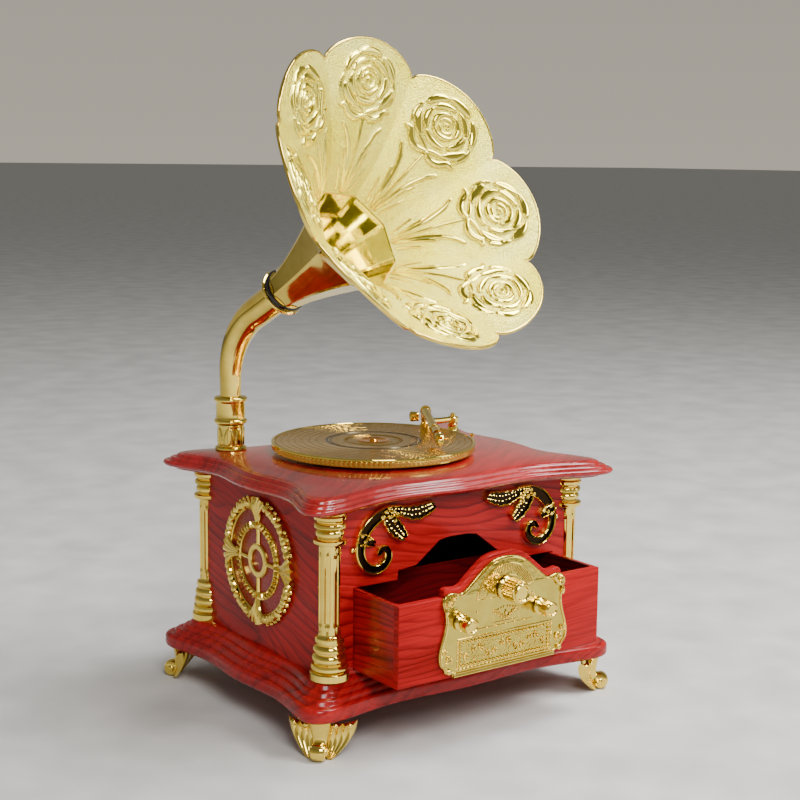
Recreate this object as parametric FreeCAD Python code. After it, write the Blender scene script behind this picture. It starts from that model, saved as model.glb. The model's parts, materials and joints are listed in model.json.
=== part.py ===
import FreeCAD, Part
import math
import os

# Gramophone music box: a moulded case with a drawer, a spring-driven 18-note cylinder
# movement that turns the platter, and a flower horn on a swivelling elbow.
# Millimetres. X to the right, Y to the back, Z up. Everything is built round the middle of
# the case, on the floor, and moved at the end so that the origin lies under the middle of the
# whole object's box, which the horn and the open drawer push forwards and to the left.

# ---- driving dimensions -----------------------------------------------------------
CENTRE_X, CENTRE_Y = 6.7, 13.7      # middle of the case, from the origin
CASE_X, CASE_Y = 59.9, 47.7         # half sizes of the case's outside
WALL = 2.5                          # moulded wall thickness
FOOT_H = 14.0                       # floor to the base plate's underside
BASE_TOP = 26.0                     # top of the base plate, where the case stands
DECK_Z, DECK_TOP = 89.5, 96.0       # underside and top of the deck
DECK_X, DECK_Y, DECK_WAVE = 76.0, 61.0, 9.3     # half sizes of the deck before its sides draw in
BASE_X, BASE_Y, BASE_WAVE = 75.6, 61.2, 5.5     # the same for the base plate
SHARPNESS = 12.0                    # power of the superellipse that rounds their corners
COLUMN_X, COLUMN_Y = 57.4, 45.1     # column axes
FOOT_X, FOOT_Y = 64.8, 51.8         # centres of the feet's seats
FIT = 0.1                           # side gap of loose parts
RUN = 0.05                          # radial clearance of running shafts

DRAWER_OUT = 28.0                   # how far the drawer stands open at rest
DRAWER_X = 48.3                     # half width of the drawer
DRAWER_Z0, DRAWER_Z1 = 28.1, 58.9   # bottom and rim of the drawer
DRAWER_DEPTH = 40.0                 # front board and tray together
BOARD = 3.0                         # thickness of the drawer's front board

PLATTER_Y = 9.8                     # the platter's axis is at x = 0
PLATTER_R = 42.2
PLATTER_Z, PLATTER_TOP = 97.0, 100.8
SPINDLE_R = 2.0

HORN_X, HORN_Y = -46.7, 46.0        # swivel axis of the horn
HORN_TURN = 12.1                    # the horn's heading, degrees from -Y towards +X
HORN_RISE = 30.6                    # the horn's axis above level, degrees
BEND_R, BEND_Z = 32.0, 126.2        # elbow's bend radius and where it starts
RING_S, RING_Z = 31.2, 163.1        # joint ring: distance ahead of the swivel, height
SWIVEL_R = 3.2                      # bore the horn's stub turns in
PIPE_Z, PIPE_R, PIPE_END = 118.6, 6.4, -1.05    # elbow's foot, its radius at the ring, its end in the ring
PETALS = 8
VALLEY_ANGLE = 105.3                # of one valley between petals, degrees from the horn's level axis

PIVOT_X, PIVOT_Y = 54.0, 26.0       # tonearm pivot
HEAD_X, HEAD_Y = 15.5, -16.5        # tonearm head over the record
KNOB_Z, MAIN_KNOB_Z = 49.2, 58.8
KNOB_X = (-21.5, 16.5)              # the two small knobs

CROWN_TEETH, PINION_TEETH = 36, 12  # barrel to cylinder
CROWN_R, GEAR_MODULE = 12.0, 0.667
WHEEL_TEETH, IDLER_TEETH = 30, 10   # cylinder to idler
WHEEL_MODULE = 0.5
WORM_TEETH, WORM_STARTS = 12, 2     # idler to governor
WORM_MODULE, WORM_R = 0.6, 2.1
CYL_Z = 47.4                        # cylinder axis above the floor
CYL_R, CYL_X0, CYL_X1 = 6.5, 16.0, 38.0
COMB_TEETH = 18
RATCHET_TEETH = 12

V = FreeCAD.Vector
X_AXIS, Y_AXIS, Z_AXIS = V(1, 0, 0), V(0, 1, 0), V(0, 0, 1)
ORIGIN = V(0, 0, 0)
SIDES = (("left", -1), ("right", 1))
CORNERS = (("front_left", -1, -1), ("front_right", 1, -1), ("back_left", -1, 1), ("back_right", 1, 1))


# ---- helpers ------------------------------------------------------------------------
def save(name, *solids):
    shape = solids[0] if len(solids) == 1 else Part.makeCompound(list(solids))
    shape.translate(V(CENTRE_X, CENTRE_Y, 0))
    shape.exportStep("parts/%s.step" % name)
    print("%-22s %9.1f mm3  valid %s" % (name, shape.Volume, shape.isValid()))


def box(x0, x1, y0, y1, z0, z1):
    return Part.makeBox(x1 - x0, y1 - y0, z1 - z0, V(x0, y0, z0))


def rod(radius, start, end):
    start, end = V(*start), V(*end)
    return Part.makeCylinder(radius, (end - start).Length, start, end - start)


def post(x, y, z0, z1, radius):
    return Part.makeCylinder(radius, z1 - z0, V(x, y, z0))


def fuse(first, *others):
    return first.multiFuse(list(others)).removeSplitter()


def turned(profile, centre, axis=Z_AXIS):
    """A solid of revolution from (radius, height) points, closed back to the axis."""
    points = [V(0, 0, profile[0][1])] + [V(r, 0, h) for r, h in profile] + [V(0, 0, profile[-1][1])]
    solid = Part.Face(Part.makePolygon(points + points[:1])).revolve(ORIGIN, Z_AXIS, 360)
    solid = Part.Solid(solid) if solid.ShapeType != "Solid" else solid
    solid.rotate(ORIGIN, *rotation_to(axis))
    solid.translate(V(*centre))
    return solid


def rotation_to(axis):
    turn = FreeCAD.Rotation(Z_AXIS, axis)
    return turn.Axis, math.degrees(turn.Angle)


def prism(points, z0, z1):
    face = Part.Face(Part.makePolygon([V(x, y, z0) for x, y in points + points[:1]]))
    return face.extrude(V(0, 0, z1 - z0))


def upright_plate(points, y0, y1):
    """A plate facing the front: (x, z) outline, from y0 to y1."""
    face = Part.Face(Part.makePolygon([V(x, y0, z) for x, z in points + points[:1]]))
    return face.extrude(V(0, y1 - y0, 0))


def smooth_face(points):
    curve = Part.BSplineCurve()
    curve.interpolate(Points=points, PeriodicFlag=True)
    return Part.Face(Part.Wire(curve.toShape()))


def wavy_slab(half_x, half_y, wave, z0, z1):
    """A slab with flared corners, whose sides draw in and swell again in the middle."""
    corner = 0.5 ** (1 / SHARPNESS)
    points = []
    for turn_x, turn_y in ((1, 0), (0, 1), (-1, 0), (0, -1)):
        for step in range(-9, 9):
            v = corner * math.sin(math.radians(10 * step))
            u = (1 - abs(v) ** SHARPNESS) ** (1 / SHARPNESS)
            x, y = u * turn_x - v * turn_y, u * turn_y + v * turn_x
            points.append(V(x * (half_x - wave * dip(y)), y * (half_y - wave * dip(x)), z0))
    return smooth_face(points).extrude(V(0, 0, z1 - z0))


def dip(t):
    """How far a side is drawn in, from its middle (t = 0) to its corner (t = 1)."""
    return 0.75 * math.cos(math.pi * t / 2) ** 2 + 0.58 * math.sin(math.pi * t) ** 2


def gear_blank(teeth, module, thickness, bore, share=0.40):
    """A spur gear along Z from z = 0 with straight-flanked teeth and room to spare."""
    pitch_r = teeth * module / 2
    root_r, tip_r = pitch_r - 1.2 * module, pitch_r + 0.85 * module
    pitch = math.pi * module
    points = []
    for i in range(teeth):
        a = 2 * math.pi * i / teeth
        for radius, width in ((root_r, 1.35 * share), (tip_r, 0.5 * share)):
            half = width * pitch / 2 / radius
            points.append((radius, a - half, a + half))
    outline = []
    for root, tip in zip(points[0::2], points[1::2]):
        for radius, angle in ((root[0], root[1]), (tip[0], tip[1]), (tip[0], tip[2]), (root[0], root[2])):
            outline.append((radius * math.cos(angle), radius * math.sin(angle)))
    return prism(outline, 0, thickness).cut(post(0, 0, -1, thickness + 1, bore))


def turn_to_x(shape, x, y, z):
    """Stand a shape that was made along Z along X instead, with its z = 0 at x."""
    shape.rotate(ORIGIN, Y_AXIS, 90)
    shape.translate(V(x, y, z))
    return shape


def ribbon(points, y0, y1):
    """A flat band facing the front: (x, z, width) stations joined as one outline."""
    left, right = [], []
    for i, (u, v, width) in enumerate(points):
        before, after = points[max(i - 1, 0)], points[min(i + 1, len(points) - 1)]
        du, dv = after[0] - before[0], after[1] - before[1]
        length = math.hypot(du, dv)
        nu, nv = -dv / length * width / 2, du / length * width / 2
        left.append((u + nu, v + nv))
        right.append((u - nu, v - nv))
    return upright_plate(left + right[::-1], y0, y1)


# ---- case ---------------------------------------------------------------------------
def both_sides(half):
    """Complete an outline given as its right-hand half, bottom to top."""
    return half + [(-x, z) for x, z in reversed(half) if x > 0]


CASE_BOX = (-CASE_X, CASE_X, -CASE_Y, CASE_Y, BASE_TOP, DECK_Z)
BOSS_X, BOSS_Y = 54.2, 42.0         # screw bosses in the case's corners
CROWN = [(28.4, DRAWER_Z1), (28.0, 62.5), (19.6, 63.4), (8.6, 71.6), (4.0, 72.3)]
PIN_HOLE = 2.05                     # peg and hole under each foot


def base_plate():
    steps = ((0.0, FOOT_H, 20.4), (3.8, 20.4, 23.2), (6.6, 23.2, BASE_TOP))
    plate = fuse(*[wavy_slab(BASE_X - inset, BASE_Y - inset, BASE_WAVE, z0, z1) for inset, z0, z1 in steps])
    skin = 2.5
    plate = plate.cut(box(-57, 57, -44.5, 44.5, FOOT_H - 1, BASE_TOP - skin))
    holes = [post(0, PLATTER_Y, FOOT_H, BASE_TOP + 1, 3.2)]
    for _, sx, sy in CORNERS:
        holes.append(post(sx * BOSS_X, sy * BOSS_Y, FOOT_H, BASE_TOP + 1, 1.3))
        holes.append(post(sx * FOOT_X, sy * FOOT_Y, FOOT_H - 1, FOOT_H + 5, PIN_HOLE))
    for x, y in MOVEMENT_SCREWS:
        holes.append(post(x, y, FOOT_H, BASE_TOP + 1, 1.3))
    save("base_plate", plate.cut(holes))


def case_walls():
    walls = box(*CASE_BOX)
    walls = walls.cut(box(-CASE_X + WALL, CASE_X - WALL, -CASE_Y + WALL, CASE_Y - WALL, 0, 99))
    gap = 0.4
    half = [(DRAWER_X + gap, DRAWER_Z0 - gap), (DRAWER_X + gap, DRAWER_Z1 + gap)]
    half += [(x + gap, z + gap) for x, z in CROWN]
    walls = walls.cut(upright_plate(both_sides(half), -CASE_Y - 1, -CASE_Y + WALL + 1))
    bosses, holes = [], []
    for _, sx, sy in CORNERS:
        x, y = sorted((sx * 51.2, sx * (CASE_X - 1))), sorted((sy * 39.0, sy * (CASE_Y - 1)))
        bosses.append(box(x[0], x[1], y[0], y[1], BASE_TOP, 40))
        holes.append(post(sx * BOSS_X, sy * BOSS_Y, 0, 37, 1.15))
    save("case_walls", fuse(walls, *bosses).cut(holes))


def case_screws():
    screws = []
    for _, sx, sy in CORNERS:
        head, shank, tip = BASE_TOP - 4.1, BASE_TOP - 2.5, 36.0
        profile = [(0.8, head), (2.2, head + 0.5), (2.2, shank), (1.1, shank), (1.1, tip)]
        screws.append(turned(profile, (sx * BOSS_X, sy * BOSS_Y, 0)))
    save("case_screws", *screws)


def deck():
    steps = ((4.0, DECK_Z, 90.6), (0.6, 90.6, 91.4), (0.0, 91.4, 93.4), (2.2, 93.4, 94.8),
             (4.6, 94.8, DECK_TOP))
    plate = fuse(*[wavy_slab(DECK_X - inset, DECK_Y - inset, DECK_WAVE, z0, z1) for inset, z0, z1 in steps])
    inner_x, inner_y = CASE_X - WALL - FIT, CASE_Y - WALL - FIT
    lip = box(-inner_x, inner_x, -inner_y, inner_y, DECK_Z - 2.5, DECK_Z)
    lip = lip.cut(box(-inner_x + 1.6, inner_x - 1.6, -inner_y + 1.6, inner_y - 1.6, 80, 99))
    holes = [post(0, PLATTER_Y, 80, 99, 4.0), post(HORN_X, HORN_Y, 80, 99, 4.2)]
    holes += [post(PIVOT_X, PIVOT_Y, 92, 99, 1.5), post(*REST_XY, 92, 99, 1.0)]
    save("deck", fuse(plate, lip).cut(holes))


def drawer_bay():
    """One moulded insert: a bulkhead behind the drawer and an angle rail on each side."""
    edge = CASE_X - WALL - FIT
    back_y, front_y, rail_x = -7.2, -44.8, 50.4
    shapes = [box(-edge, edge, back_y, back_y + 2.0, BASE_TOP, 80)]
    for _, sx in SIDES:
        floor_x = sorted((sx * 42.0, sx * rail_x))
        wall_x = sorted((sx * (DRAWER_X + 0.3), sx * rail_x))
        shapes.append(box(floor_x[0], floor_x[1], front_y, back_y + 1, BASE_TOP, DRAWER_Z0 - FIT))
        shapes.append(box(wall_x[0], wall_x[1], front_y, back_y + 1, BASE_TOP, 38.0))
    save("drawer_bay", fuse(*shapes))


def columns():
    z0, z1 = BASE_TOP, DECK_Z
    profile = [(7.4, z0), (7.4, z0 + 2.6), (6.3, z0 + 3.2), (7.0, z0 + 4.6), (6.9, z0 + 5.8)]
    profile += [(5.9, z0 + 6.6), (6.6, z0 + 8.0), (6.5, z0 + 9.2), (5.6, z0 + 10.0), (6.2, z0 + 11.2)]
    profile += [(6.1, z0 + 12.2), (5.2, z0 + 13.0), (5.6, z0 + 15.8), (4.2, z0 + 16.4)]
    profile += [(4.2, z1 - 12.6), (6.3, z1 - 12.2), (6.3, z1 - 10.8), (4.8, z1 - 10.2), (5.0, z1 - 6.8)]
    profile += [(5.9, z1 - 5.8), (5.9, z1 - 4.6), (5.0, z1 - 3.9), (6.2, z1 - 2.6), (6.2, z1)]
    corner = box(*CASE_BOX)
    for name, sx, sy in CORNERS:
        save("column_" + name, turned(profile, (sx * COLUMN_X, sy * COLUMN_Y, 0)).cut(corner))


def feet():
    """Cabriole feet on the diagonals: a leg, a rolled toe and a shell swept back at both sides."""
    curl_r, curl_u = 3.4, 6.6       # the toe's radius, and how far it stands ahead of the seat
    sweep, plate = 25.0, 2.4        # how far the shell's halves turn back, and their thickness
    leg = [(-5.0, FOOT_H), (6.5, FOOT_H), (6.2, 10.5), (4.8, 8.2), (4.4, 5.4), (5.5, 3.2), (4.2, 0.0)]
    leg += [(-1.5, 0.0), (-2.2, 5.0), (-3.2, 9.0)]
    fan = [(0.0, 13.8), (12.0, 13.8), (11.4, 9.6), (6.4, 6.0), (3.0, 2.6), (0.0, 2.6)]
    for name, sx, sy in CORNERS:
        body = upright_plate(leg, -3.2, 3.2)
        curl = rod(curl_r, (curl_u, -3.3, curl_r), (curl_u, 3.3, curl_r))
        wings = []
        for _, side in SIDES:
            outline = [V(1.6, side * t, z) for t, z in fan]
            wing = Part.Face(Part.makePolygon(outline + outline[:1])).extrude(V(plate, 0, 0))
            wing.rotate(V(1.6 + plate / 2, 0, 0), Z_AXIS, side * sweep)
            wings.append(wing)
        peg = post(0, 0, FOOT_H - 1, FOOT_H + 4.5, PIN_HOLE - 0.05)
        foot = fuse(body, curl, peg, *wings)
        foot.rotate(ORIGIN, Z_AXIS, math.degrees(math.atan2(sy, sx)))
        foot.translate(V(sx * FOOT_X, sy * FOOT_Y, 0))
        save("foot_" + name, foot)


def medallions():
    centre_y, centre_z, depth = 0.4, 60.6, 1.8
    rings = ((24.6, 21.0), (15.2, 12.6), (6.9, 4.2))
    for side, sx in SIDES:
        x0, x1 = sx * CASE_X, sx * (CASE_X + depth)

        def disc(radius, y=centre_y, z=centre_z):
            return rod(radius, (x0, y, z), (x1, y, z))

        shapes = [disc(outer).cut(disc(inner)) for outer, inner in rings]
        for i in range(4):
            spoke = box(min(x0, x1), max(x0, x1), centre_y - 1.6, centre_y + 1.6, centre_z + 4.6, centre_z + 23)
            spoke.rotate(V(0, centre_y, centre_z), X_AXIS, 90 * i)
            shapes.append(spoke)
        for i in range(12):
            a = math.radians(30 * i)
            lobe_r = 3.6 if i % 3 == 0 else 2.4
            reach = 22.6
            shapes.append(disc(lobe_r, centre_y + reach * math.sin(a), centre_z + reach * math.cos(a)))
        save("medallion_%s" % side, fuse(*shapes))


def scroll_ornaments():
    back, face = -CASE_Y, -CASE_Y - 2.2
    wing = [(-11.4, 85.8, 2.6), (-14.0, 84.6, 4.6), (-18.0, 83.2, 5.4), (-22.4, 83.6, 4.4), (-27.0, 84.8, 5.6)]
    wing += [(-33.0, 84.8, 6.6), (-39.0, 82.6, 6.4), (-43.6, 78.6, 5.8), (-46.0, 73.6, 5.0), (-45.8, 68.8, 4.4)]
    wing += [(-43.0, 65.4, 3.8), (-39.2, 64.6, 3.4), (-36.0, 66.8, 3.2), (-35.6, 70.4, 3.0)]
    branch = [(-33.0, 83.6, 5.4), (-30.4, 80.6, 4.8), (-27.6, 78.0, 4.2), (-25.8, 75.6, 3.2)]
    for side, sx in SIDES:
        parts = [ribbon([(-sx * u, v, w) for u, v, w in band], face, back) for band in (wing, branch)]
        save("scroll_ornament_%s" % side, fuse(*parts))


# ---- drawer -------------------------------------------------------------------------
FRONT_Y = -CASE_Y - DRAWER_OUT      # face of the drawer's front board
PLATE_Y = FRONT_Y - 1.3             # face of the gold plate


def drawer():
    back_y, wall = FRONT_Y + DRAWER_DEPTH, 2.0
    tray = box(-DRAWER_X, DRAWER_X, FRONT_Y + BOARD, back_y, DRAWER_Z0, DRAWER_Z1)
    hollow = box(-DRAWER_X + wall, DRAWER_X - wall, FRONT_Y + BOARD, back_y - wall, DRAWER_Z0 + wall, 99)
    save("drawer_tray", tray.cut(hollow))
    board = upright_plate(both_sides([(DRAWER_X, DRAWER_Z0), (DRAWER_X, DRAWER_Z1)] + CROWN),
                          FRONT_Y, FRONT_Y + BOARD)
    half = [(25.0, 28.4), (28.8, 30.9), (31.0, 36.0), (30.4, 40.0), (28.5, 46.0), (27.7, 52.0), (29.7, 56.4)]
    half += [(28.6, 59.6), (24.0, 61.0), (20.5, 59.5), (15.3, 63.7), (9.5, 68.5), (4.6, 70.6), (0.0, 71.1)]
    plate = upright_plate(both_sides(half), PLATE_Y, FRONT_Y)
    grille = box(-22, 22, PLATE_Y - 0.5, PLATE_Y, 31.5, 41.9)
    rail = box(-25, 25, PLATE_Y - 0.8, PLATE_Y, 28.4, 29.9)
    shafts = [rod(KNOB_SHAFT + RUN, (x, FRONT_Y - 9, z), (x, FRONT_Y + BOARD + 1, z)) for x, z in KNOBS]
    save("drawer_front", board.cut(shafts))
    save("radio_faceplate", fuse(plate, grille, rail).cut(shafts))


KNOB_SHAFT = 1.2
KNOBS = ((0.0, MAIN_KNOB_Z), (KNOB_X[0], KNOB_Z), (KNOB_X[1], KNOB_Z))


def knobs():
    inside, seat = FRONT_Y + BOARD, PLATE_Y - 0.3
    main = [(2.2, -inside - 1.2), (2.2, -inside - 0.3), (KNOB_SHAFT, -inside - 0.3), (KNOB_SHAFT, -seat)]
    small = list(main)
    main += [(4.7, -seat), (4.7, -seat + 1.4), (3.9, -seat + 2.2), (4.3, -seat + 3.2), (4.3, -seat + 7.6)]
    main += [(3.6, -seat + 8.2), (3.4, -seat + 9.8)]
    small += [(3.3, -seat), (3.3, -seat + 1.4), (2.5, -seat + 2.2), (2.5, -seat + 3.4), (3.1, -seat + 4.2)]
    small += [(3.1, -seat + 6.8), (2.6, -seat + 7.4)]
    for name, profile, (x, z) in zip(("tuning_knob", "knob_left", "knob_right"), (main, small, small), KNOBS):
        save(name, turned(profile, (x, 0, z), V(0, -1, 0)))


# ---- turntable ----------------------------------------------------------------------
def turntable():
    r, z, top = PLATTER_R, PLATTER_Z, PLATTER_TOP
    recess = r - 1.5
    profile = [(r - 3, z), (r - 0.6, z + 0.5), (r - 0.6, z + 0.9), (r - 0.2, z + 1.0), (r - 0.2, z + 2.6)]
    profile += [(r, z + 2.8), (r, top - 0.3), (r - 0.3, top), (recess, top), (recess, top - 0.8), (0.0, top - 0.8)]
    platter = turned(profile, (0, PLATTER_Y, 0))
    under = turned([(r - 2.2, z - 1), (r - 2.2, top - 2.2), (0.0, top - 2.2)], (0, PLATTER_Y, 0))
    hub = post(0, PLATTER_Y, z, top - 1.5, 4.4)
    platter = fuse(platter.cut(under), hub).cut(post(0, PLATTER_Y, z - 1, top - 1.4, SPINDLE_R))
    save("platter", platter)
    disc_z = top - 0.8
    groove = [(recess - 0.1, disc_z), (recess - 0.1, top - 0.1), (12.0, top - 0.1), (11.4, top - 0.4)]
    groove += [(10.6, top - 0.4), (10.0, top), (4.0, top), (3.2, top + 0.8), (0.0, top + 0.9)]
    save("record_disc", turned(groove, (0, PLATTER_Y, 0)))
    save("turntable_spindle", post(0, PLATTER_Y, 42.6, top - 1.4, SPINDLE_R))
    bush = [(3.9, DECK_Z - 2), (3.9, DECK_TOP), (5.2, DECK_TOP), (5.2, DECK_TOP + 0.5)]
    bush = turned(bush, (0, PLATTER_Y, 0)).cut(post(0, PLATTER_Y, 80, 99, SPINDLE_R + RUN))
    save("spindle_bush", bush)


# ---- tonearm ------------------------------------------------------------------------
REST_XY = (46.5, 3.0)               # peg where the arm parks
ARM_Z, ARCH_Z = 101.8, 107.2        # heights of the cross arm and of the arch
ARCH_XY = (38.0, 25.0)


def tonearm():
    top = DECK_TOP
    stand = [(1.4, top - 3), (1.4, top), (3.4, top), (3.4, top + 1.0), (2.3, top + 1.6), (2.3, top + 4.4)]
    stand += [(1.2, top + 4.5), (1.2, top + 9.0)]
    save("tonearm_post", turned(stand, (PIVOT_X, PIVOT_Y, 0)))
    peg = [(0.9, top - 3), (0.9, top), (1.7, top), (1.7, top + 0.8), (0.7, top + 1.2), (0.7, top + 4.2)]
    save("tonearm_rest", turned(peg, (REST_XY[0], REST_XY[1], 0)))
    ax, ay = ARCH_XY
    hub = post(PIVOT_X, PIVOT_Y, top + 4.8, top + 7.4, 2.5)
    cross = rod(1.4, (PIVOT_X, PIVOT_Y, ARM_Z + 0.7), (ax, ay, ARM_Z + 0.7))
    rise = rod(1.8, (ax, ay, ARM_Z - 0.6), (ax - 0.5, ay, ARCH_Z + 0.6))
    tube = rod(1.7, (ax - 0.5, ay, ARCH_Z), (HEAD_X, HEAD_Y + 3, ARM_Z + 3.0))
    arm = fuse(hub, cross, rise, tube).cut(post(PIVOT_X, PIVOT_Y, 90, 110, 1.2 + RUN))
    save("tonearm_arm", arm)
    save("tonearm_soundbox", rod(2.2, (ax - 2.6, ay + 1.4, ARM_Z + 3.2), (ax - 6.2, ay + 3.4, ARM_Z + 3.2)))
    turn = math.degrees(math.atan2(HEAD_Y - ay, HEAD_X - ax))
    head = box(0.6, 7.6, -1.9, 1.9, 102.0, 106.4)
    needle = post(6.2, 0, 101.2, 102.0, 0.5)
    head = fuse(head, needle)
    head.rotate(ORIGIN, Z_AXIS, turn)
    head.translate(V(HEAD_X, HEAD_Y + 3, 0))
    save("tonearm_head", head)


# ---- horn ---------------------------------------------------------------------------
def horn_frame(s=RING_S, z=RING_Z, rise=HORN_RISE):
    """Placement whose Z runs along the pipe and whose X is level, at (s, z) in the elbow's plane."""
    turn, lift = math.radians(HORN_TURN), math.radians(rise)
    heading = V(math.sin(turn), -math.cos(turn), 0)
    along = heading * math.cos(lift) + Z_AXIS * math.sin(lift)
    level = V(-math.cos(turn), -math.sin(turn), 0)
    up = along.cross(level)
    place = FreeCAD.Matrix(level.x, up.x, along.x, HORN_X + heading.x * s,
                           level.y, up.y, along.y, HORN_Y + heading.y * s,
                           level.z, up.z, along.z, z, 0, 0, 0, 1)
    return FreeCAD.Placement(place)


def on_horn(shape, placement):
    shape.Placement = placement.multiply(shape.Placement)
    return shape


def horn_stand():
    top = DECK_TOP
    socket = [(4.1, DECK_Z), (4.1, top), (6.6, top), (6.6, top + 1.2), (5.5, top + 1.6), (5.5, top + 10.6)]
    socket = turned(socket, (HORN_X, HORN_Y, 0)).cut(post(HORN_X, HORN_Y, 80, 120, SWIVEL_R))
    save("horn_socket", socket)
    z = top + 10.9
    collar = [(6.0, z), (6.8, z + 0.6), (6.8, z + 1.6), (6.2, z + 2.0), (6.2, z + 9.0), (6.8, z + 9.4)]
    collar += [(6.8, z + 10.6), (6.0, z + 11.4)]
    collar = turned(collar, (HORN_X, HORN_Y, 0)).cut(post(HORN_X, HORN_Y, z - 1, z + 12, SWIVEL_R - RUN))
    save("horn_collar", collar)


def elbow_sections(shrink):
    """Circles along the elbow: straight up, round the bend, then on towards the ring."""
    sections = [(0.0, PIPE_Z, 90.0, 4.35), (0.0, BEND_Z - 3, 90.0, 4.4)]
    bend = 90.0 - HORN_RISE
    for i in range(6):
        turned_by = bend * i / 5
        a = math.radians(turned_by)
        s, z = BEND_R * (1 - math.cos(a)), BEND_Z + BEND_R * math.sin(a)
        sections.append((s, z, 90.0 - turned_by, 4.6 + 1.7 * i / 5))
    sections.append((RING_S - 1.0, RING_Z - 0.6, HORN_RISE, PIPE_R))
    return [on_horn(Part.Wire(Part.makeCircle(r - shrink)), horn_frame(s, z, rise)) for s, z, rise, r in sections]


def horn_elbow():
    outside = Part.makeLoft(elbow_sections(0.0), True)
    inside = Part.makeLoft(elbow_sections(0.9), True)
    inside = inside.cut(post(HORN_X, HORN_Y, PIPE_Z - 1, PIPE_Z + 1.0, 6))
    stub = post(HORN_X, HORN_Y, DECK_TOP + 0.5, PIPE_Z + 0.2, SWIVEL_R - RUN)
    pipe = fuse(outside.cut(inside), stub).cut(post(HORN_X, HORN_Y, DECK_TOP, PIPE_Z + 2, 2.3))
    save("horn_elbow", pipe)


def octagon(flat, length):
    """A section of the faceted cone, by its half width across flats, with a corner at each valley."""
    radius = flat / math.cos(math.pi / PETALS)
    angles = [math.radians(VALLEY_ANGLE + 360.0 * i / PETALS) for i in range(PETALS)]
    points = [V(radius * math.cos(a), radius * math.sin(a), length) for a in angles]
    return Part.makePolygon(points + points[:1])


def petal_reach(angle):
    """Rim radius of the flower at an angle in degrees: eight rounded petals."""
    valley_r, tip_r = 58.3, 63.9
    across = ((angle - VALLEY_ANGLE) * PETALS / 360.0 % 1.0) * 2 - 1
    return valley_r + (tip_r - valley_r) * (1 - abs(across) ** 1.9) ** (1 / 1.9)


def horn_flower():
    place = horn_frame()
    ring = [(6.5, -1.6), (9.6, -1.2), (9.7, 1.6), (8.4, 2.2), (7.6, 3.0)]
    ring = turned(ring, ORIGIN).cut([post(0, 0, -5, 9, 5.6), post(0, 0, -2, PIPE_END, PIPE_R + FIT + RUN)])
    save("horn_ring", on_horn(ring, place))
    cone = Part.makeLoft([octagon(7.9, 2.4), octagon(11.0, 16), octagon(19.6, 44)], True, True)
    bore = Part.makeLoft([octagon(6.9, 2.3), octagon(10.0, 16), octagon(18.7, 44.1)], True, True)
    cone = cone.cut(post(0, 0, 0, 3.0, 20).cut(post(0, 0, -1, 4, 5.6))).cut(bore)
    save("horn_cone", on_horn(cone, place))
    face = [(19.2, 44.0), (24.4, 52.0), (31.7, 60.0), (41.3, 68.0), (50.0, 74.2), (58.3, 79.3), (65.0, 84.4)]
    thick = 1.3
    outline = [V(r, 0, h) for r, h in face] + [V(r + 0.5, 0, h - thick) for r, h in reversed(face[1:])]
    outline.append(V(face[0][0] + thick, 0, face[0][1]))
    shell = Part.Face(Part.makePolygon(outline + outline[:1])).revolve(ORIGIN, Z_AXIS, 360)
    rim = []
    for i in range(PETALS * 12):
        angle = VALLEY_ANGLE + 360.0 * i / (PETALS * 12)
        a, reach = math.radians(angle), petal_reach(angle)
        rim.append((reach * math.cos(a), reach * math.sin(a)))
    save("horn_bell", on_horn(shell.common(prism(rim, 30, 99)), place))


# ---- movement -----------------------------------------------------------------------
BED_TOP = BASE_TOP + 2.5
ARBOR_R = 2.5
BARREL_R, BARREL_Z0, BARREL_Z1 = 12.5, 30.0, 41.0
LID_TOP = BARREL_Z1 + 1.5
IDLER_Y = PLATTER_Y - 10.05 * math.cos(math.radians(30))
IDLER_Z = CYL_Z - 10.05 * math.sin(math.radians(30))
WORM_X, WORM_Y = 46.0, IDLER_Y + WORM_TEETH * WORM_MODULE / 2 + WORM_R + 0.05
MOVEMENT_SCREWS = ((-13.5, 33.0), (-13.5, -1.5), (51.0, 34.0), (38.0, -2.0))


def bedplate():
    plate = box(-17, 56, -4.8, 38, BASE_TOP, BED_TOP)
    holes = [post(x, y, BASE_TOP - 1, BED_TOP + 1, 1.3) for x, y in MOVEMENT_SCREWS]
    holes.append(post(0, PLATTER_Y, BASE_TOP - 1, BED_TOP + 1, ARBOR_R + RUN))
    save("movement_bedplate", plate.cut(holes))
    screws = []
    for x, y in MOVEMENT_SCREWS:
        profile = [(1.25, BASE_TOP - 2.4), (1.25, BED_TOP), (2.3, BED_TOP), (2.3, BED_TOP + 0.9), (1.6, BED_TOP + 1.3)]
        screws.append(turned(profile, (x, y, 0)))
    save("movement_screws", *screws)


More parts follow.
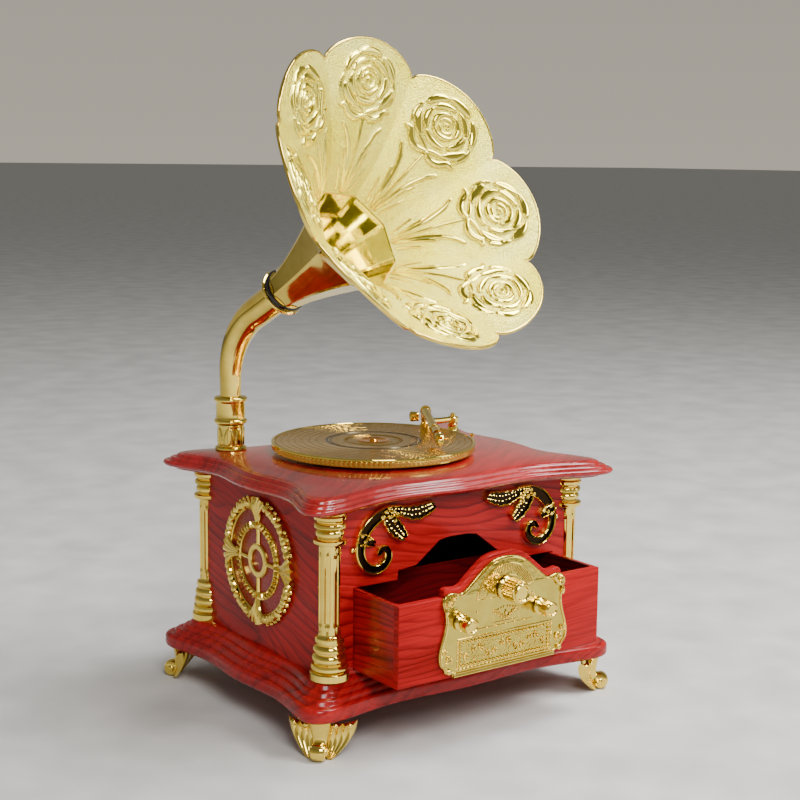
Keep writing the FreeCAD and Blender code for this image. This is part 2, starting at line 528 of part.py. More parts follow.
def winding():
    wing = [(3.0, 10.6), (5.4, 12.4), (9.0, 12.6), (11.8, 10.4), (12.4, 7.4), (11.4, 4.6), (8.6, 3.0), (5.2, 3.6)]
    wing += [(3.0, 5.8)]
    wings = upright_plate(wing + [(-x, z) for x, z in reversed(wing)], -0.9, 0.9)
    hub = post(0, 0, 5.4, 21.0, 3.1)
    key = fuse(wings, hub).cut(post(0, 0, 12.0, 22.0, ARBOR_R - 0.4))
    key.translate(V(0, PLATTER_Y, 0))
    save("winding_key", key)
    arbor = [(ARBOR_R - 0.4, 12.0), (ARBOR_R - 0.4, 21.0), (ARBOR_R, 21.0), (ARBOR_R, 39.6), (1.6, 40.2)]
    save("barrel_arbor", turned(arbor, (0, PLATTER_Y, 0)))
    teeth = []
    for i in range(RATCHET_TEETH):
        a = 2 * math.pi * i / RATCHET_TEETH
        teeth.append((6.0 * math.cos(a), 6.0 * math.sin(a)))
        teeth.append((4.8 * math.cos(a + 0.06), 4.8 * math.sin(a + 0.06)))
    wheel = prism(teeth, BED_TOP + 0.3, BED_TOP + 1.2).cut(post(0, 0, 20, 40, ARBOR_R))
    wheel.translate(V(0, PLATTER_Y, 0))
    save("ratchet_wheel", wheel)
    leaf_y = PLATTER_Y - 6.15
    leaf = box(-10.4, 0.4, leaf_y - 0.35, leaf_y, BED_TOP + 0.35, BED_TOP + 1.15)
    save("click_spring", fuse(leaf, post(-10.8, leaf_y - 0.2, BED_TOP, BED_TOP + 1.15, 1.1)))


def barrel():
    axis = (0, PLATTER_Y)
    drum = post(*axis, BARREL_Z0, BARREL_Z1, BARREL_R).cut(post(*axis, BARREL_Z0 + 1, 50, BARREL_R - 0.9))
    save("spring_barrel", drum.cut(post(*axis, 0, 50, ARBOR_R + RUN)))
    lid = post(*axis, BARREL_Z1, LID_TOP, BARREL_R + 0.7)
    hub = post(*axis, BARREL_Z1, LID_TOP + 2.5, 4.5)
    pitch = 2 * math.pi * CROWN_R / CROWN_TEETH
    foot, tip, height = 0.27 * pitch, 0.10 * pitch, 1.47
    teeth = []
    for i in range(CROWN_TEETH):
        wedge = [V(10.7, -foot, LID_TOP - 0.2), V(10.7, foot, LID_TOP - 0.2), V(10.7, foot, LID_TOP),
                 V(10.7, tip, LID_TOP + height), V(10.7, -tip, LID_TOP + height), V(10.7, -foot, LID_TOP)]
        tooth = Part.Face(Part.makePolygon(wedge + wedge[:1])).extrude(V(2.3, 0, 0))
        tooth.rotate(ORIGIN, Z_AXIS, 360.0 * (i + 0.5) / CROWN_TEETH)
        tooth.translate(V(0, PLATTER_Y, 0))
        teeth.append(tooth)
    lid = fuse(lid, hub, *teeth).cut(post(*axis, 42.6, 60, SPINDLE_R))
    save("barrel_lid", lid)
    coil, turns, thin = [], 5, 0.4
    for i in range(turns * 24 + 1):
        a = 2 * math.pi * i / 24
        coil.append((a, 3.2 + (11.1 - 3.2) * i / (turns * 24)))
    outer = [(r * math.cos(a), r * math.sin(a)) for a, r in coil]
    inner = [((r - thin) * math.cos(a), (r - thin) * math.sin(a)) for a, r in reversed(coil)]
    spring = prism(outer + inner, BARREL_Z0 + 1.6, BARREL_Z1 - 0.6)
    spring.translate(V(0, PLATTER_Y, 0))
    save("mainspring", spring)


def cylinder():
    y, z = PLATTER_Y, CYL_Z
    tube = rod(CYL_R, (CYL_X0, y, z), (CYL_X1, y, z)).cut(rod(CYL_R - 0.8, (CYL_X0 + 1, y, z), (CYL_X1 - 1, y, z)))
    save("music_cylinder", tube.cut(rod(1.0, (0, y, z), (60, y, z))))
    pins = []
    for track in range(COMB_TEETH):
        x = COMB_X0 + COMB_PITCH * (track + 0.5)
        for beat in range(4):
            a = math.radians(90.0 * beat + 37.0 * track + 13.0 * (track * beat % 5))
            out = V(0, math.cos(a), math.sin(a))
            start = V(x, y, z) + out * (CYL_R + 0.02)
            pins.append(Part.makeCylinder(0.22, 0.7, start, out))
    save("cylinder_pins", *pins)
    pinion = turn_to_x(gear_blank(PINION_TEETH, GEAR_MODULE, 2.0, 0.5), 11.0, y, z)
    save("cylinder_arbor", fuse(rod(1.0, (10.6, y, z), (43.3, y, z)), pinion))
    wheel = gear_blank(WHEEL_TEETH, WHEEL_MODULE, 1.2, 1.0)
    save("cylinder_wheel", turn_to_x(wheel, 39.0, y, z))


def bearings():
    y, z = PLATTER_Y, CYL_Z
    inner = box(13.7, 15.4, y - 4.5, y + 4.5, BED_TOP, z + 4)
    inner = inner.cut(rod(1.0 + RUN, (0, y, z), (60, y, z)))
    outer = box(41.0, 43.0, IDLER_Y - 3.5, y + 4.5, BED_TOP, z + 4)
    outer = outer.cut([rod(1.0 + RUN, (0, y, z), (60, y, z)),
                       rod(IDLER_ARBOR + RUN, (0, IDLER_Y, IDLER_Z), (60, IDLER_Y, IDLER_Z))])
    save("cylinder_bearings", inner, outer)


IDLER_ARBOR = 0.8
COMB_X0 = 16.6
COMB_PITCH = (CYL_X1 - 0.6 - COMB_X0) / COMB_TEETH


def comb():
    tip_y, z = PLATTER_Y + CYL_R + 0.72 + 0.12, CYL_Z
    x1 = COMB_X0 + COMB_PITCH * COMB_TEETH
    plate = box(COMB_X0, x1, tip_y, 37.0, z - 0.4, z + 0.4)
    slots = []
    for i in range(1, COMB_TEETH):
        x, root = COMB_X0 + COMB_PITCH * i, tip_y + 12.5 - 4.5 * i / COMB_TEETH
        slots.append(box(x - 0.14, x + 0.14, tip_y - 1, root, z - 1, z + 1))
    comb_holes = [post(x, 33.5, z - 12, z + 2, 1.1) for x in (COMB_X0 + 4, x1 - 4)]
    save("steel_comb", plate.cut(slots + comb_holes))
    block = box(COMB_X0 - 0.6, x1 + 0.6, 30.2, 37.0, BED_TOP, z - 0.4)
    save("comb_block", block.cut(comb_holes))
    screws = []
    for x in (COMB_X0 + 4, x1 - 4):
        profile = [(1.05, z - 9), (1.05, z + 0.4), (2.0, z + 0.4), (2.0, z + 1.3), (1.5, z + 1.7)]
        screws.append(turned(profile, (x, 33.5, 0)))
    save("comb_screws", *screws)


def idler_and_governor():
    arbor = rod(IDLER_ARBOR, (38.7, IDLER_Y, IDLER_Z), (54.8, IDLER_Y, IDLER_Z))
    pinion = gear_blank(IDLER_TEETH, WHEEL_MODULE, 1.7, 0.4)
    pinion.rotate(ORIGIN, Z_AXIS, -6.0)
    save("idler_pinion", fuse(arbor, turn_to_x(pinion, 38.7, IDLER_Y, IDLER_Z)))
    wheel = gear_blank(WORM_TEETH, WORM_MODULE, 1.0, IDLER_ARBOR)
    wheel.rotate(ORIGIN, Z_AXIS, 15.0)
    save("worm_wheel", turn_to_x(wheel, WORM_X - 0.5, IDLER_Y, IDLER_Z))
    lead = math.pi * WORM_MODULE * WORM_STARTS
    length = 9.0
    core_r, tip_r, axial = 1.5, WORM_R + 0.85 * WORM_MODULE, math.pi * WORM_MODULE
    threads = []
    for start in range(WORM_STARTS):
        helix = Part.makeHelix(lead, length, WORM_R)
        profile = [V(core_r - 0.15, 0, -0.25 * axial), V(core_r - 0.15, 0, 0.25 * axial),
                   V(tip_r, 0, 0.10 * axial), V(tip_r, 0, -0.10 * axial)]
        thread = Part.Wire(helix).makePipeShell([Part.makePolygon(profile + profile[:1])], True, True)
        thread.rotate(ORIGIN, Z_AXIS, 360.0 * start / WORM_STARTS)
        threads.append(thread)
    worm = fuse(post(0, 0, -1.5, length + 1.5, core_r), *threads)
    # At the wheel's side (towards -Y) a thread has to stand level with the idler's axis.
    worm.rotate(ORIGIN, Z_AXIS, -90.0)
    whole_turns = round(length / 2 / lead)
    worm.translate(V(WORM_X, WORM_Y, IDLER_Z - whole_turns * lead))
    shaft = post(WORM_X, WORM_Y, 31.4, 65.4, 0.7)
    save("governor_worm", fuse(worm, shaft))
    vane = box(WORM_X - 5.8, WORM_X + 5.8, WORM_Y - 0.3, WORM_Y + 0.3, 57.4, 63.0)
    hub = post(WORM_X, WORM_Y, 57.0, 63.4, 1.4)
    save("air_brake", fuse(vane, hub).cut(post(WORM_X, WORM_Y, 50, 70, 0.7)))
    side = box(53.4, 55.2, IDLER_Y - 3.5, WORM_Y + 3.5, BED_TOP, 66.2)
    arms = [box(WORM_X - 2.5, 54, WORM_Y - 2.5, WORM_Y + 2.5, z0, z0 + 1.6) for z0 in (31.0, 64.6)]
    frame = fuse(side, *arms)
    frame = frame.cut([post(WORM_X, WORM_Y, 31.3, 65.5, 0.7 + RUN),
                       rod(IDLER_ARBOR + RUN, (50, IDLER_Y, IDLER_Z), (60, IDLER_Y, IDLER_Z))])
    save("governor_frame", frame)


os.makedirs("parts", exist_ok=True)
for build in (base_plate, case_walls, case_screws, deck, drawer_bay, columns, feet, medallions,
              scroll_ornaments, drawer, knobs, turntable, tonearm, horn_stand, horn_elbow, horn_flower,
              bedplate, winding, barrel, cylinder, bearings, comb, idler_and_governor):
    build()
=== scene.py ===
import json
import random
from math import atan2, copysign, cos, degrees, hypot, pi, radians, sin, sqrt

import bmesh
import bpy
import numpy as np
from mathutils import Matrix, Vector


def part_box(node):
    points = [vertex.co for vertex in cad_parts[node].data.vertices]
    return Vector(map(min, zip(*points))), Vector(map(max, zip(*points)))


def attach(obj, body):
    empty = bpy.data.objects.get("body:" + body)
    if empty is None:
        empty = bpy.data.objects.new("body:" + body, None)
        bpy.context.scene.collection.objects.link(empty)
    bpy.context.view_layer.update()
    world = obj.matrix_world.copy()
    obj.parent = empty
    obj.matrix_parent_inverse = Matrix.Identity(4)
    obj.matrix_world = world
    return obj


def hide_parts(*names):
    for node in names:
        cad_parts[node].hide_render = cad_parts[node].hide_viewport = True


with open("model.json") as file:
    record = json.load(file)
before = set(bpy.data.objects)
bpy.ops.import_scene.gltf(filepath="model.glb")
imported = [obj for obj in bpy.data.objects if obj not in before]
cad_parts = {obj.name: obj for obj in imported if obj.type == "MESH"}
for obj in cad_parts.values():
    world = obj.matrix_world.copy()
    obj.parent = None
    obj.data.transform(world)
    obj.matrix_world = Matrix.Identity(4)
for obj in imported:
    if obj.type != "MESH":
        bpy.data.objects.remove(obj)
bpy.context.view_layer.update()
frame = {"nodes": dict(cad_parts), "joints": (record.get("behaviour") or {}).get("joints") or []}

# Everything below is in millimetres, from the middle of the case on the floor, X to the
# right, Y to the back and Z up. place() turns that into the frame's metres.
CASE_LO, CASE_HI = (v * 1000 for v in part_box("case_walls"))
CENTRE = Vector(((CASE_LO.x + CASE_HI.x) / 2, (CASE_LO.y + CASE_HI.y) / 2, 0))


def node_box(node):
    """A CAD node's box in the script's own units."""
    lo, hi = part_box(node)
    return lo * 1000 - CENTRE, hi * 1000 - CENTRE


def joint_at(name):
    """A CAD joint's place in the script's own units."""
    found = next(j for j in frame["joints"] if j["name"] == name)
    return Vector(found["pos_m"]) * 1000 - CENTRE


CASE_X, CASE_Y = CASE_HI.x - CENTRE.x, CASE_HI.y - CENTRE.y
BASE_TOP, DECK_Z = CASE_LO.z, CASE_HI.z
DECK_TOP = node_box("deck")[1].z
FOOT_H = node_box("base_plate")[0].z
PLATTER = joint_at("platter_spin")
HORN = joint_at("horn_swivel")
PIVOT = joint_at("tonearm_swing")
DRAWER_LO, DRAWER_HI = node_box("drawer_front")
PLATE_Y = node_box("radio_faceplate")[0].y + 0.8
CORNERS = (("front_left", -1, -1), ("front_right", 1, -1), ("back_left", -1, 1), ("back_right", 1, 1))
SIDES = (("left", -1), ("right", 1))
FOOT_X, FOOT_Y = 64.8, 51.8
COLUMN_X, COLUMN_Y = 57.4, 45.1


# ---- materials ----------------------------------------------------------------------
class Paint:
    """One procedural material: a Principled shader and a few texture nodes."""

    def __init__(self, name, color, roughness, metallic=0.0, **inputs):
        self.material = bpy.data.materials.new(name)
        self.material.use_nodes = True
        self.material.diffuse_color = (*color, 1)
        self.tree = self.material.node_tree
        self.shader = self.tree.nodes["Principled BSDF"]
        self.set(self.shader, {"Base Color": (*color, 1), "Roughness": roughness, "Metallic": metallic})
        self.set(self.shader, {key.replace("_", " "): value for key, value in inputs.items()})
        self.coordinates = self.node("ShaderNodeTexCoord").outputs["Object"]

    def set(self, node, values):
        for key, value in values.items():
            if isinstance(value, bpy.types.NodeSocket):
                self.tree.links.new(value, node.inputs[key])
            else:
                node.inputs[key].default_value = value

    def node(self, kind, inputs=None, **settings):
        made = self.tree.nodes.new(kind)
        for key, value in settings.items():
            setattr(made, key, value)
        self.set(made, inputs or {})
        return made

    def mapped(self, scale=(1, 1, 1), turn=(0, 0, 0), shift=(0, 0, 0)):
        angles = [radians(a) for a in turn]
        inputs = {"Vector": self.coordinates, "Scale": scale, "Rotation": angles, "Location": shift}
        return self.node("ShaderNodeMapping", inputs).outputs["Vector"]

    def noise(self, vector, scale, detail=3.0):
        inputs = {"Vector": vector, "Scale": scale, "Detail": detail}
        return self.node("ShaderNodeTexNoise", inputs).outputs["Fac"]

    def maths(self, operation, *values):
        return self.node("ShaderNodeMath", dict(enumerate(values)), operation=operation).outputs[0]

    def vectors(self, operation, a, b):
        return self.node("ShaderNodeVectorMath", {0: a, 1: b}, operation=operation).outputs

    def parts(self, vector):
        return self.node("ShaderNodeSeparateXYZ", {"Vector": vector}).outputs

    def ramp(self, factor, *stops):
        made = self.node("ShaderNodeValToRGB", {"Fac": factor})
        elements = made.color_ramp.elements
        for i, (position, color) in enumerate(stops):
            element = elements[i] if i < 2 else elements.new(position)
            element.position = position
            element.color = (*color, 1)
        return made.outputs["Color"]

    def spread(self, factor, low, high):
        """A factor between 0.3 and 0.7 spread over low to high."""
        inputs = {"Value": factor, "From Min": 0.3, "From Max": 0.7, "To Min": low, "To Max": high}
        return self.node("ShaderNodeMapRange", inputs).outputs["Result"]

    def mix(self, factor, a, b, blend="MIX"):
        made = self.node("ShaderNodeMix", data_type="RGBA", blend_type=blend)
        color_a, color_b, color_out = 6, 7, 2
        self.set(made, {0: factor, color_a: a, color_b: b})
        return made.outputs[color_out]

    def bump(self, height, strength, distance):
        inputs = {"Height": height, "Strength": strength, "Distance": distance}
        made = self.node("ShaderNodeBump", inputs)
        self.set(self.shader, {"Normal": made.outputs["Normal"]})


def wood_grain(name, front, side, seed, pitch=0.0026, dark=0.5, coat=0.1, heading=0, hollow=None):
    """Red plastic printed with wood grain. The grain lies flat in each face: along X, turned by
    front, on those that face the front or the top, and along Y, turned by side, at the sides.
    Where side is None the grain keeps one heading all over. pitch is the rings' distance in metres,
    dark their strength. The inner faces of a hollow box, given as a node, are darker: painted shade."""
    plain, line = (0.36, 0.0095, 0.0105), (0.1, 0.003, 0.004)
    wander = 7.0     # how many rings the grain may stray
    paint = Paint(name, (0.36, 0.01, 0.01), 0.26, Coat_Weight=coat, Coat_Roughness=0.03, IOR=1.45)
    paint.set(paint.shader, {"Specular IOR Level": 0.08 + 0.35 * coat})
    shift = (seed * 0.37, seed * 0.71, seed * 0.13)
    along = paint.mapped(turn=(0, front, heading), shift=shift)
    if side is not None:
        normal = paint.node("ShaderNodeTexCoord").outputs["Normal"]
        sideways = paint.maths("GREATER_THAN", paint.maths("ABSOLUTE", paint.parts(normal)["X"]), 0.72)
        along = paint.mix(sideways, along, paint.mapped(turn=(side, 0, -90), shift=shift))

    def stretched(length, width, detail):
        return paint.noise(paint.vectors("MULTIPLY", along, (length, width, width))[0], 1, detail)

    across = paint.vectors("DOT_PRODUCT", along, (0, 1 / pitch, 1 / pitch))["Value"]
    bend = paint.maths("MULTIPLY", stretched(13, 0.16 / pitch, 2), wander)
    rings = paint.maths("FRACT", paint.maths("ADD", across, bend))
    bands, fine = stretched(9, 0.3 / pitch, 2), stretched(40, 4 / pitch, 3)
    grown = paint.ramp(rings, (0, line), (0.1, (0.2, 0.006, 0.007)), (0.34, plain),
                       (0.86, (0.42, 0.013, 0.012)), (0.97, (0.26, 0.007, 0.008)), (1, line))
    strength = paint.ramp(bands, (0.36, grey(0.2 + 0.8 * dark)), (0.62, grey(0.55 * dark)))
    color = paint.mix(strength, (*plain, 1), grown)
    shade = paint.ramp(bands, (0.34, (0.55, 0.5, 0.52)), (0.52, (1, 1, 1)))
    color = paint.mix(0.25 + 0.6 * dark, color, shade, "MULTIPLY")
    shade = paint.ramp(fine, (0.36, (0.55, 0.5, 0.5)), (0.54, (1, 1, 1)))
    color = paint.mix(0.55, color, shade, "MULTIPLY")
    # painted shade: the inner faces of the hollow box are darkened as if in shade
    if hollow:
        color = shaded_inside(paint, color, hollow)
    paint.set(paint.shader, {"Base Color": color, "Roughness": paint.spread(bands, 0.22, 0.32)})
    paint.bump(fine, 0.03, 0.0002)
    return paint.material


def shaded_inside(paint, color, node, wall=0.0012):
    """The colour, darker where a point lies further in from the node's sides than wall, in metres: painted
    shade inside a hollow box.
    """
    lo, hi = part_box(node)
    where = paint.parts(paint.coordinates)
    within = [paint.maths("COMPARE", where[axis], (lo[axis] + hi[axis]) / 2, (hi[axis] - lo[axis]) / 2 - wall)
              for axis in range(2)]
    inside = paint.maths("MULTIPLY", *within)
    return paint.mix(inside, color, paint.mix(1, color, (0.26, 0.28, 0.45, 1), "MULTIPLY"))


def gold(name, color=(0.87, 0.66, 0.13), roughness=0.06, grain=0.02):
    """Bright vacuum-plated plastic: a mirror that is never perfectly flat."""
    paint = Paint(name, color, roughness, 1)
    cloud = paint.noise(paint.mapped(), 160, 4)
    tint = [min(1, c * 1.04) for c in color]
    deep = [c * f for c, f in zip(color, (0.93, 0.88, 0.78))]
    paint.set(paint.shader, {"Roughness": paint.spread(cloud, roughness * 0.7, roughness * 1.5),
                             "Base Color": paint.ramp(cloud, (0.35, deep), (0.62, tint))})
    paint.bump(paint.noise(paint.mapped(), 420, 2), grain, 0.0005)
    return paint.material


def grey(value):
    return (value, value, value)


def frosted_gold():
    """The petals: a pebbled field and smooth raised strokes, told apart by the mesh's relief. The strokes'
    flanks carry painted shade.
    """
    paint = Paint("frosted_gold", (1, 0.84, 0.32), 0.35, 1)
    relief = paint.node("ShaderNodeAttribute", attribute_name="relief").outputs["Fac"]
    pebbles = paint.noise(paint.mapped(), 2200, 2)
    patches = paint.noise(paint.mapped(), 45, 2)
    field = paint.ramp(patches, (0.35, (0.97, 0.84, 0.06)), (0.65, (1, 0.93, 0.22)))
    color = paint.mix(relief, field, (0.97, 0.82, 0.12, 1))
    # painted shade: darkens the strokes' flanks, where the relief faces away from the light
    outline = paint.ramp(relief, (0, grey(1)), (0.3, (0.5, 0.44, 0.34)), (0.8, grey(1)))
    rough = paint.mix(relief, paint.ramp(pebbles, (0.35, grey(0.22)), (0.65, grey(0.38))), (*grey(0.07), 1))
    paint.set(paint.shader, {"Base Color": paint.mix(0.85, color, outline, "MULTIPLY"), "Roughness": rough})
    paint.bump(paint.mix(relief, pebbles, (*grey(0.5), 1)), 1, 0.0006)
    return paint.material


def ringed_gold(name, centre, color, period):
    """A gold disc whose fine grooves run round its own centre."""
    paint = Paint(name, color, 0.16, 1)
    inputs = {"Vector": paint.mapped(shift=[-c / 1000 for c in centre]), "Scale": 1 / period,
              "Distortion": 0.4, "Detail": 1, "Detail Scale": 2}
    rings = paint.node("ShaderNodeTexWave", inputs, wave_type="RINGS", rings_direction="Z").outputs["Fac"]
    patches = paint.noise(paint.mapped(), 90, 3)
    paint.set(paint.shader, {"Roughness": paint.spread(patches, 0.1, 0.2),
                             "Base Color": paint.ramp(rings, (0.1, [c * 0.5 for c in color]), (0.9, color))})
    paint.bump(rings, 0.25, 0.0002)
    return paint.material


def metal(name, color, roughness, stretch):
    """Machined or die-cast metal with fine marks stretched along one way."""
    paint = Paint(name, color, roughness, 1)
    marks = paint.noise(paint.mapped(stretch), 1, 4)
    paint.set(paint.shader, {"Roughness": paint.spread(marks, roughness * 0.7, roughness * 1.4),
                             "Base Color": paint.ramp(marks, (0.3, [c * 0.85 for c in color]), (0.7, color))})
    paint.bump(marks, 0.06, 0.0003)
    return paint.material


def plastic(name, color, roughness, scale=700.0, bump=0.08):
    """Moulded plastic with a fine sparked texture."""
    paint = Paint(name, color, roughness)
    sparks = paint.noise(paint.mapped(), scale, 3)
    patches = paint.noise(paint.mapped(), 30, 2)
    tones = paint.ramp(patches, (0.3, [c * 0.8 for c in color]), (0.7, color))
    paint.set(paint.shader, {"Roughness": paint.spread(sparks, roughness * 0.8, roughness * 1.2),
                             "Base Color": tones})
    paint.bump(sparks, bump, 0.0003)
    return paint.material


WOOD_TOP = wood_grain("wood_top", 0, None, 1, 0.006, 0.4, 0.7, -38)
WOOD_BASE = wood_grain("wood_base", 0, None, 2, 0.0068, 0.5, 0.25, -38)
WOOD_WALLS = wood_grain("wood_walls", -10, -15, 3, 0.0046, 1)
WOOD_DRAWER = wood_grain("wood_drawer", 2, 4, 4, 0.0026, 0.6, 0)
WOOD_TRAY = wood_grain("wood_tray", 0, 3, 5, 0.003, 0.9, hollow="drawer_tray")
GOLD = gold("gold_plate")
# painted shade: a near-black gold for the hollows of the front scrolls, standing for the shade in them
GOLD_PAINTED_SHADE = gold("gold_recess_painted_shade", (0.022, 0.012, 0.005), 0.24)
GOLD_SATIN = gold("gold_satin", (0.58, 0.47, 0.085), 0.14, 0.35)
# painted light: a paler gold for the cone's inside, standing for the direct light that falls in it
GOLD_PAINTED_LIGHT = gold("gold_painted_light", (0.8, 0.72, 0.16), 0.06, 0.02)
GOLD_GREY = gold("gold_grey", (0.1, 0.085, 0.05), 0.22)
GOLD_ORANGE = gold("gold_orange", (1, 0.4, 0.02), 0.1)
FROSTED = frosted_gold()
DARK_BAND = plastic("dark_band", (0.012, 0.01, 0.01), 0.1, bump=0.01)
BRASS = metal("brass_machined", (0.82, 0.62, 0.28), 0.24, (40, 900, 900))
STEEL = metal("steel_ground", (0.6, 0.6, 0.62), 0.26, (900, 60, 900))
ZINC = metal("zinc_cast", (0.52, 0.52, 0.54), 0.42, (500, 500, 500))
RED_PLASTIC = plastic("red_plastic", (0.16, 0.012, 0.012), 0.42)
RED_MESH = plastic("red_ground", (0.3, 0.016, 0.016), 0.3, 1500, 0.3)
FAN_PLASTIC = plastic("fan_plastic", (0.78, 0.77, 0.72), 0.45)
RECORD_GOLD = ringed_gold("record_gold", PLATTER, (1, 0.58, 0.06), 0.0009)


# ---- mesh building ------------------------------------------------------------------
class Shape:
    """Vertices and faces of one piece. A face's tint is the index of its material."""

    def __init__(self):
        self.points, self.faces, self.tints, self.relief = [], [], [], []

    def grid(self, rows, loop=True, caps=True, tint=0):
        """Joins rows of equally many points. With loop each row is closed on itself, and caps close
        the two ends. tint may be tint(i, j)."""
        start, wide = len(self.points), len(rows[0])
        for row in rows:
            self.points.extend(Vector(p) for p in row)
        for i in range(len(rows) - 1):
            for j in range(wide if loop else wide - 1):
                a, b = start + i * wide + j, start + i * wide + (j + 1) % wide
                self.faces.append((a, b, b + wide, a + wide))
                self.tints.append(tint(i, j) if callable(tint) else tint)
        if loop and caps:
            last = start + (len(rows) - 1) * wide
            for ring in (range(start + wide - 1, start - 1, -1), range(last, last + wide)):
                self.faces.append(tuple(ring))
                self.tints.append(0)
        return self

    def lathe(self, profile, centre, axis=(0, 0, 1), steps=64, radius=None, tint=0, caps=True):
        """A turned solid from (radius, height) points; radius(r, h, angle) may shape it."""
        along, side, up = axes_of(axis)
        rows = []
        for r, h in profile:
            middle = Vector(centre) + along * h
            rows.append([middle + (side * cos(a) + up * sin(a)) * (radius(r, h, a) if radius else r)
                         for a in turns(steps)])
        return self.grid(rows, tint=tint, caps=caps)

    def ring(self, profile, centre, axis=(0, 0, 1), steps=64, tint=0):
        """A turned ring from a closed outline of (radius, height) points that stays off the axis."""
        return self.lathe(profile + profile[:1], centre, axis, steps, tint=tint, caps=False)

    def tinted(self, tint):
        self.tints = [tint] * len(self.faces)
        return self

    def tube(self, path, radius, steps=12, squash=1.0, normal=(0, 0, 1)):
        """A round bar along points; radius is a number or one per point. squash flattens it along normal."""
        path = [Vector(p) for p in path]
        radii = list(radius) if hasattr(radius, "__len__") else [radius] * len(path)
        normal = Vector(normal).normalized()
        rows = []
        for i, p in enumerate(path):
            along = (path[min(i + 1, len(path) - 1)] - path[max(i - 1, 0)]).normalized()
            side = along.cross(normal)
            if side.length < 1e-4:
                side = along.orthogonal()
            side.normalize()
            up = side.cross(along)
            rows.append([p + (side * cos(a) + up * sin(a) * squash) * radii[i] for a in turns(steps)])
        return self.grid(rows)

    def bead(self, centre, radius, squash=(1, 1, 1), steps=10):
        """A small ellipsoid, for studs, berries and pips."""
        rows = []
        levels = steps // 2
        for i in range(1, levels + 1):
            b = pi * i / (levels + 1)
            reach, height = sin(b) * radius, -cos(b) * radius * squash[2]
            ring = [(cos(a) * reach * squash[0], sin(a) * reach * squash[1], height) for a in turns(steps)]
            rows.append([Vector(centre) + Vector(p) for p in ring])
        return self.grid(rows)

    def block(self, lo, hi):
        x, y = (lo[0], hi[0]), (lo[1], hi[1])
        corners = ((0, 0), (1, 0), (1, 1), (0, 1))
        return self.grid([[(x[i], y[j], z) for i, j in corners] for z in (lo[2], hi[2])])

    def slab(self, outline, back, face, edge):
        """A plate facing -Y from (x, z) points that run anticlockwise seen from the front. edge is the
        radius that rounds its face."""
        rows = [[(x, back, z) for x, z in outline], [(x, face + edge, z) for x, z in outline]]
        for share, inset in ((0.5, 0.15), (0.15, 0.5), (0, 1)):
            rows.append([(x, face + edge * share, z) for x, z in shrunk(outline, edge * inset)])
        return self.grid(rows)

    def add(self, other, move=None):
        start = len(self.points)
        self.points.extend((move @ p) if move else p for p in other.points)
        self.faces.extend(tuple(start + i for i in face) for face in other.faces)
        self.tints.extend(other.tints)
        return self


def turns(steps):
    """Angles all the way round, in even steps."""
    return [2 * pi * k / steps for k in range(steps)]


def axes_of(axis):
    """Three square directions, the first along the axis."""
    along = Vector(axis).normalized()
    side = Vector((1, 0, 0)) if abs(along.x) < 0.9 else Vector((0, 0, 1))
    side = (side - along * side.dot(along)).normalized()
    return along, side, along.cross(side)


def shrunk(outline, inset):
    """The outline moved inwards, with the inside on the left of its direction of travel."""
    points = []
    for i, (x, z) in enumerate(outline):
        (x0, z0), (x1, z1) = outline[i - 1], outline[(i + 1) % len(outline)]
        length = hypot(x1 - x0, z1 - z0) or 1
        points.append((x - (z1 - z0) / length * inset, z + (x1 - x0) / length * inset))
    return points


def smooth(points, steps=6):
    """A Catmull-Rom curve through the points, of any number of values each."""
    points = [tuple(p) for p in points]
    last = len(points) - 1
    made = []
    for i in range(last):
        near = [points[min(max(i + k, 0), last)] for k in (-1, 0, 1, 2)]
        for s in range(steps):
            t = s / steps
            made.append(tuple(0.5 * (2 * b + (c - a) * t + (2 * a - 5 * b + 4 * c - d) * t * t
                                     + (3 * b - a - 3 * c + d) * t ** 3) for a, b, c, d in zip(*near)))
    return made + [points[-1]]


def boxy(value, power):
    """A sine or cosine pushed outwards, which squares up a round section."""
    return copysign(abs(value) ** power, value)


def add_object(name, data):
    made = bpy.data.objects.new(name, data)
    bpy.context.scene.collection.objects.link(made)
    return made


def raw_mesh(name, shape):
    """The shape as a Blender mesh, in the frame's metres."""
    mesh = bpy.data.meshes.new(name)
    mesh.from_pydata([(p + CENTRE) / 1000 for p in shape.points], [], shape.faces)
    return mesh


def place(name, shape, body, slot, *materials, replaces=(), angle=35.0):
    """Makes the Blender object of a shape; edges sharper than the angle stay sharp."""
    mesh = raw_mesh(name, shape)
    for material in materials:
        mesh.materials.append(material)
    mesh.polygons.foreach_set("material_index", shape.tints)
    if shape.relief:
        mesh.attributes.new("relief", "FLOAT", "POINT").data.foreach_set("value", shape.relief)
    tidy = bmesh.new()
    tidy.from_mesh(mesh)
    bmesh.ops.remove_doubles(tidy, verts=tidy.verts, dist=1e-7)
    bmesh.ops.recalc_face_normals(tidy, faces=tidy.faces)
    tidy.to_mesh(mesh)
    tidy.free()
    mesh.shade_smooth()
    mesh.set_sharp_from_angle(angle=radians(angle))
    piece = add_object(name, mesh)
    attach(piece, body)
    if replaces:
        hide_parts(*replaces)
    return piece


def gild(name, shape, body, node, angle=35.0, inlay_and_painted_light=()):
    """Places a piece of bright gold plate that stands for one CAD node."""
    # the extra materials are the joint ring's dark band and the painted shade and painted light of the
    # scrolls and cone
    return place(name, shape, body, "gold_plate", GOLD, *inlay_and_painted_light, replaces=[node], angle=angle)


def soften(node, width):
    """Rounds the sharp edges of a carried-over CAD node, as a mould does."""
    rounding = frame["nodes"][node].modifiers.new("rounded_edges", "BEVEL")
    rounding.width, rounding.segments = width / 1000, 2
    rounding.limit_method, rounding.angle_limit = "ANGLE", radians(40)
    rounding.harden_normals = True


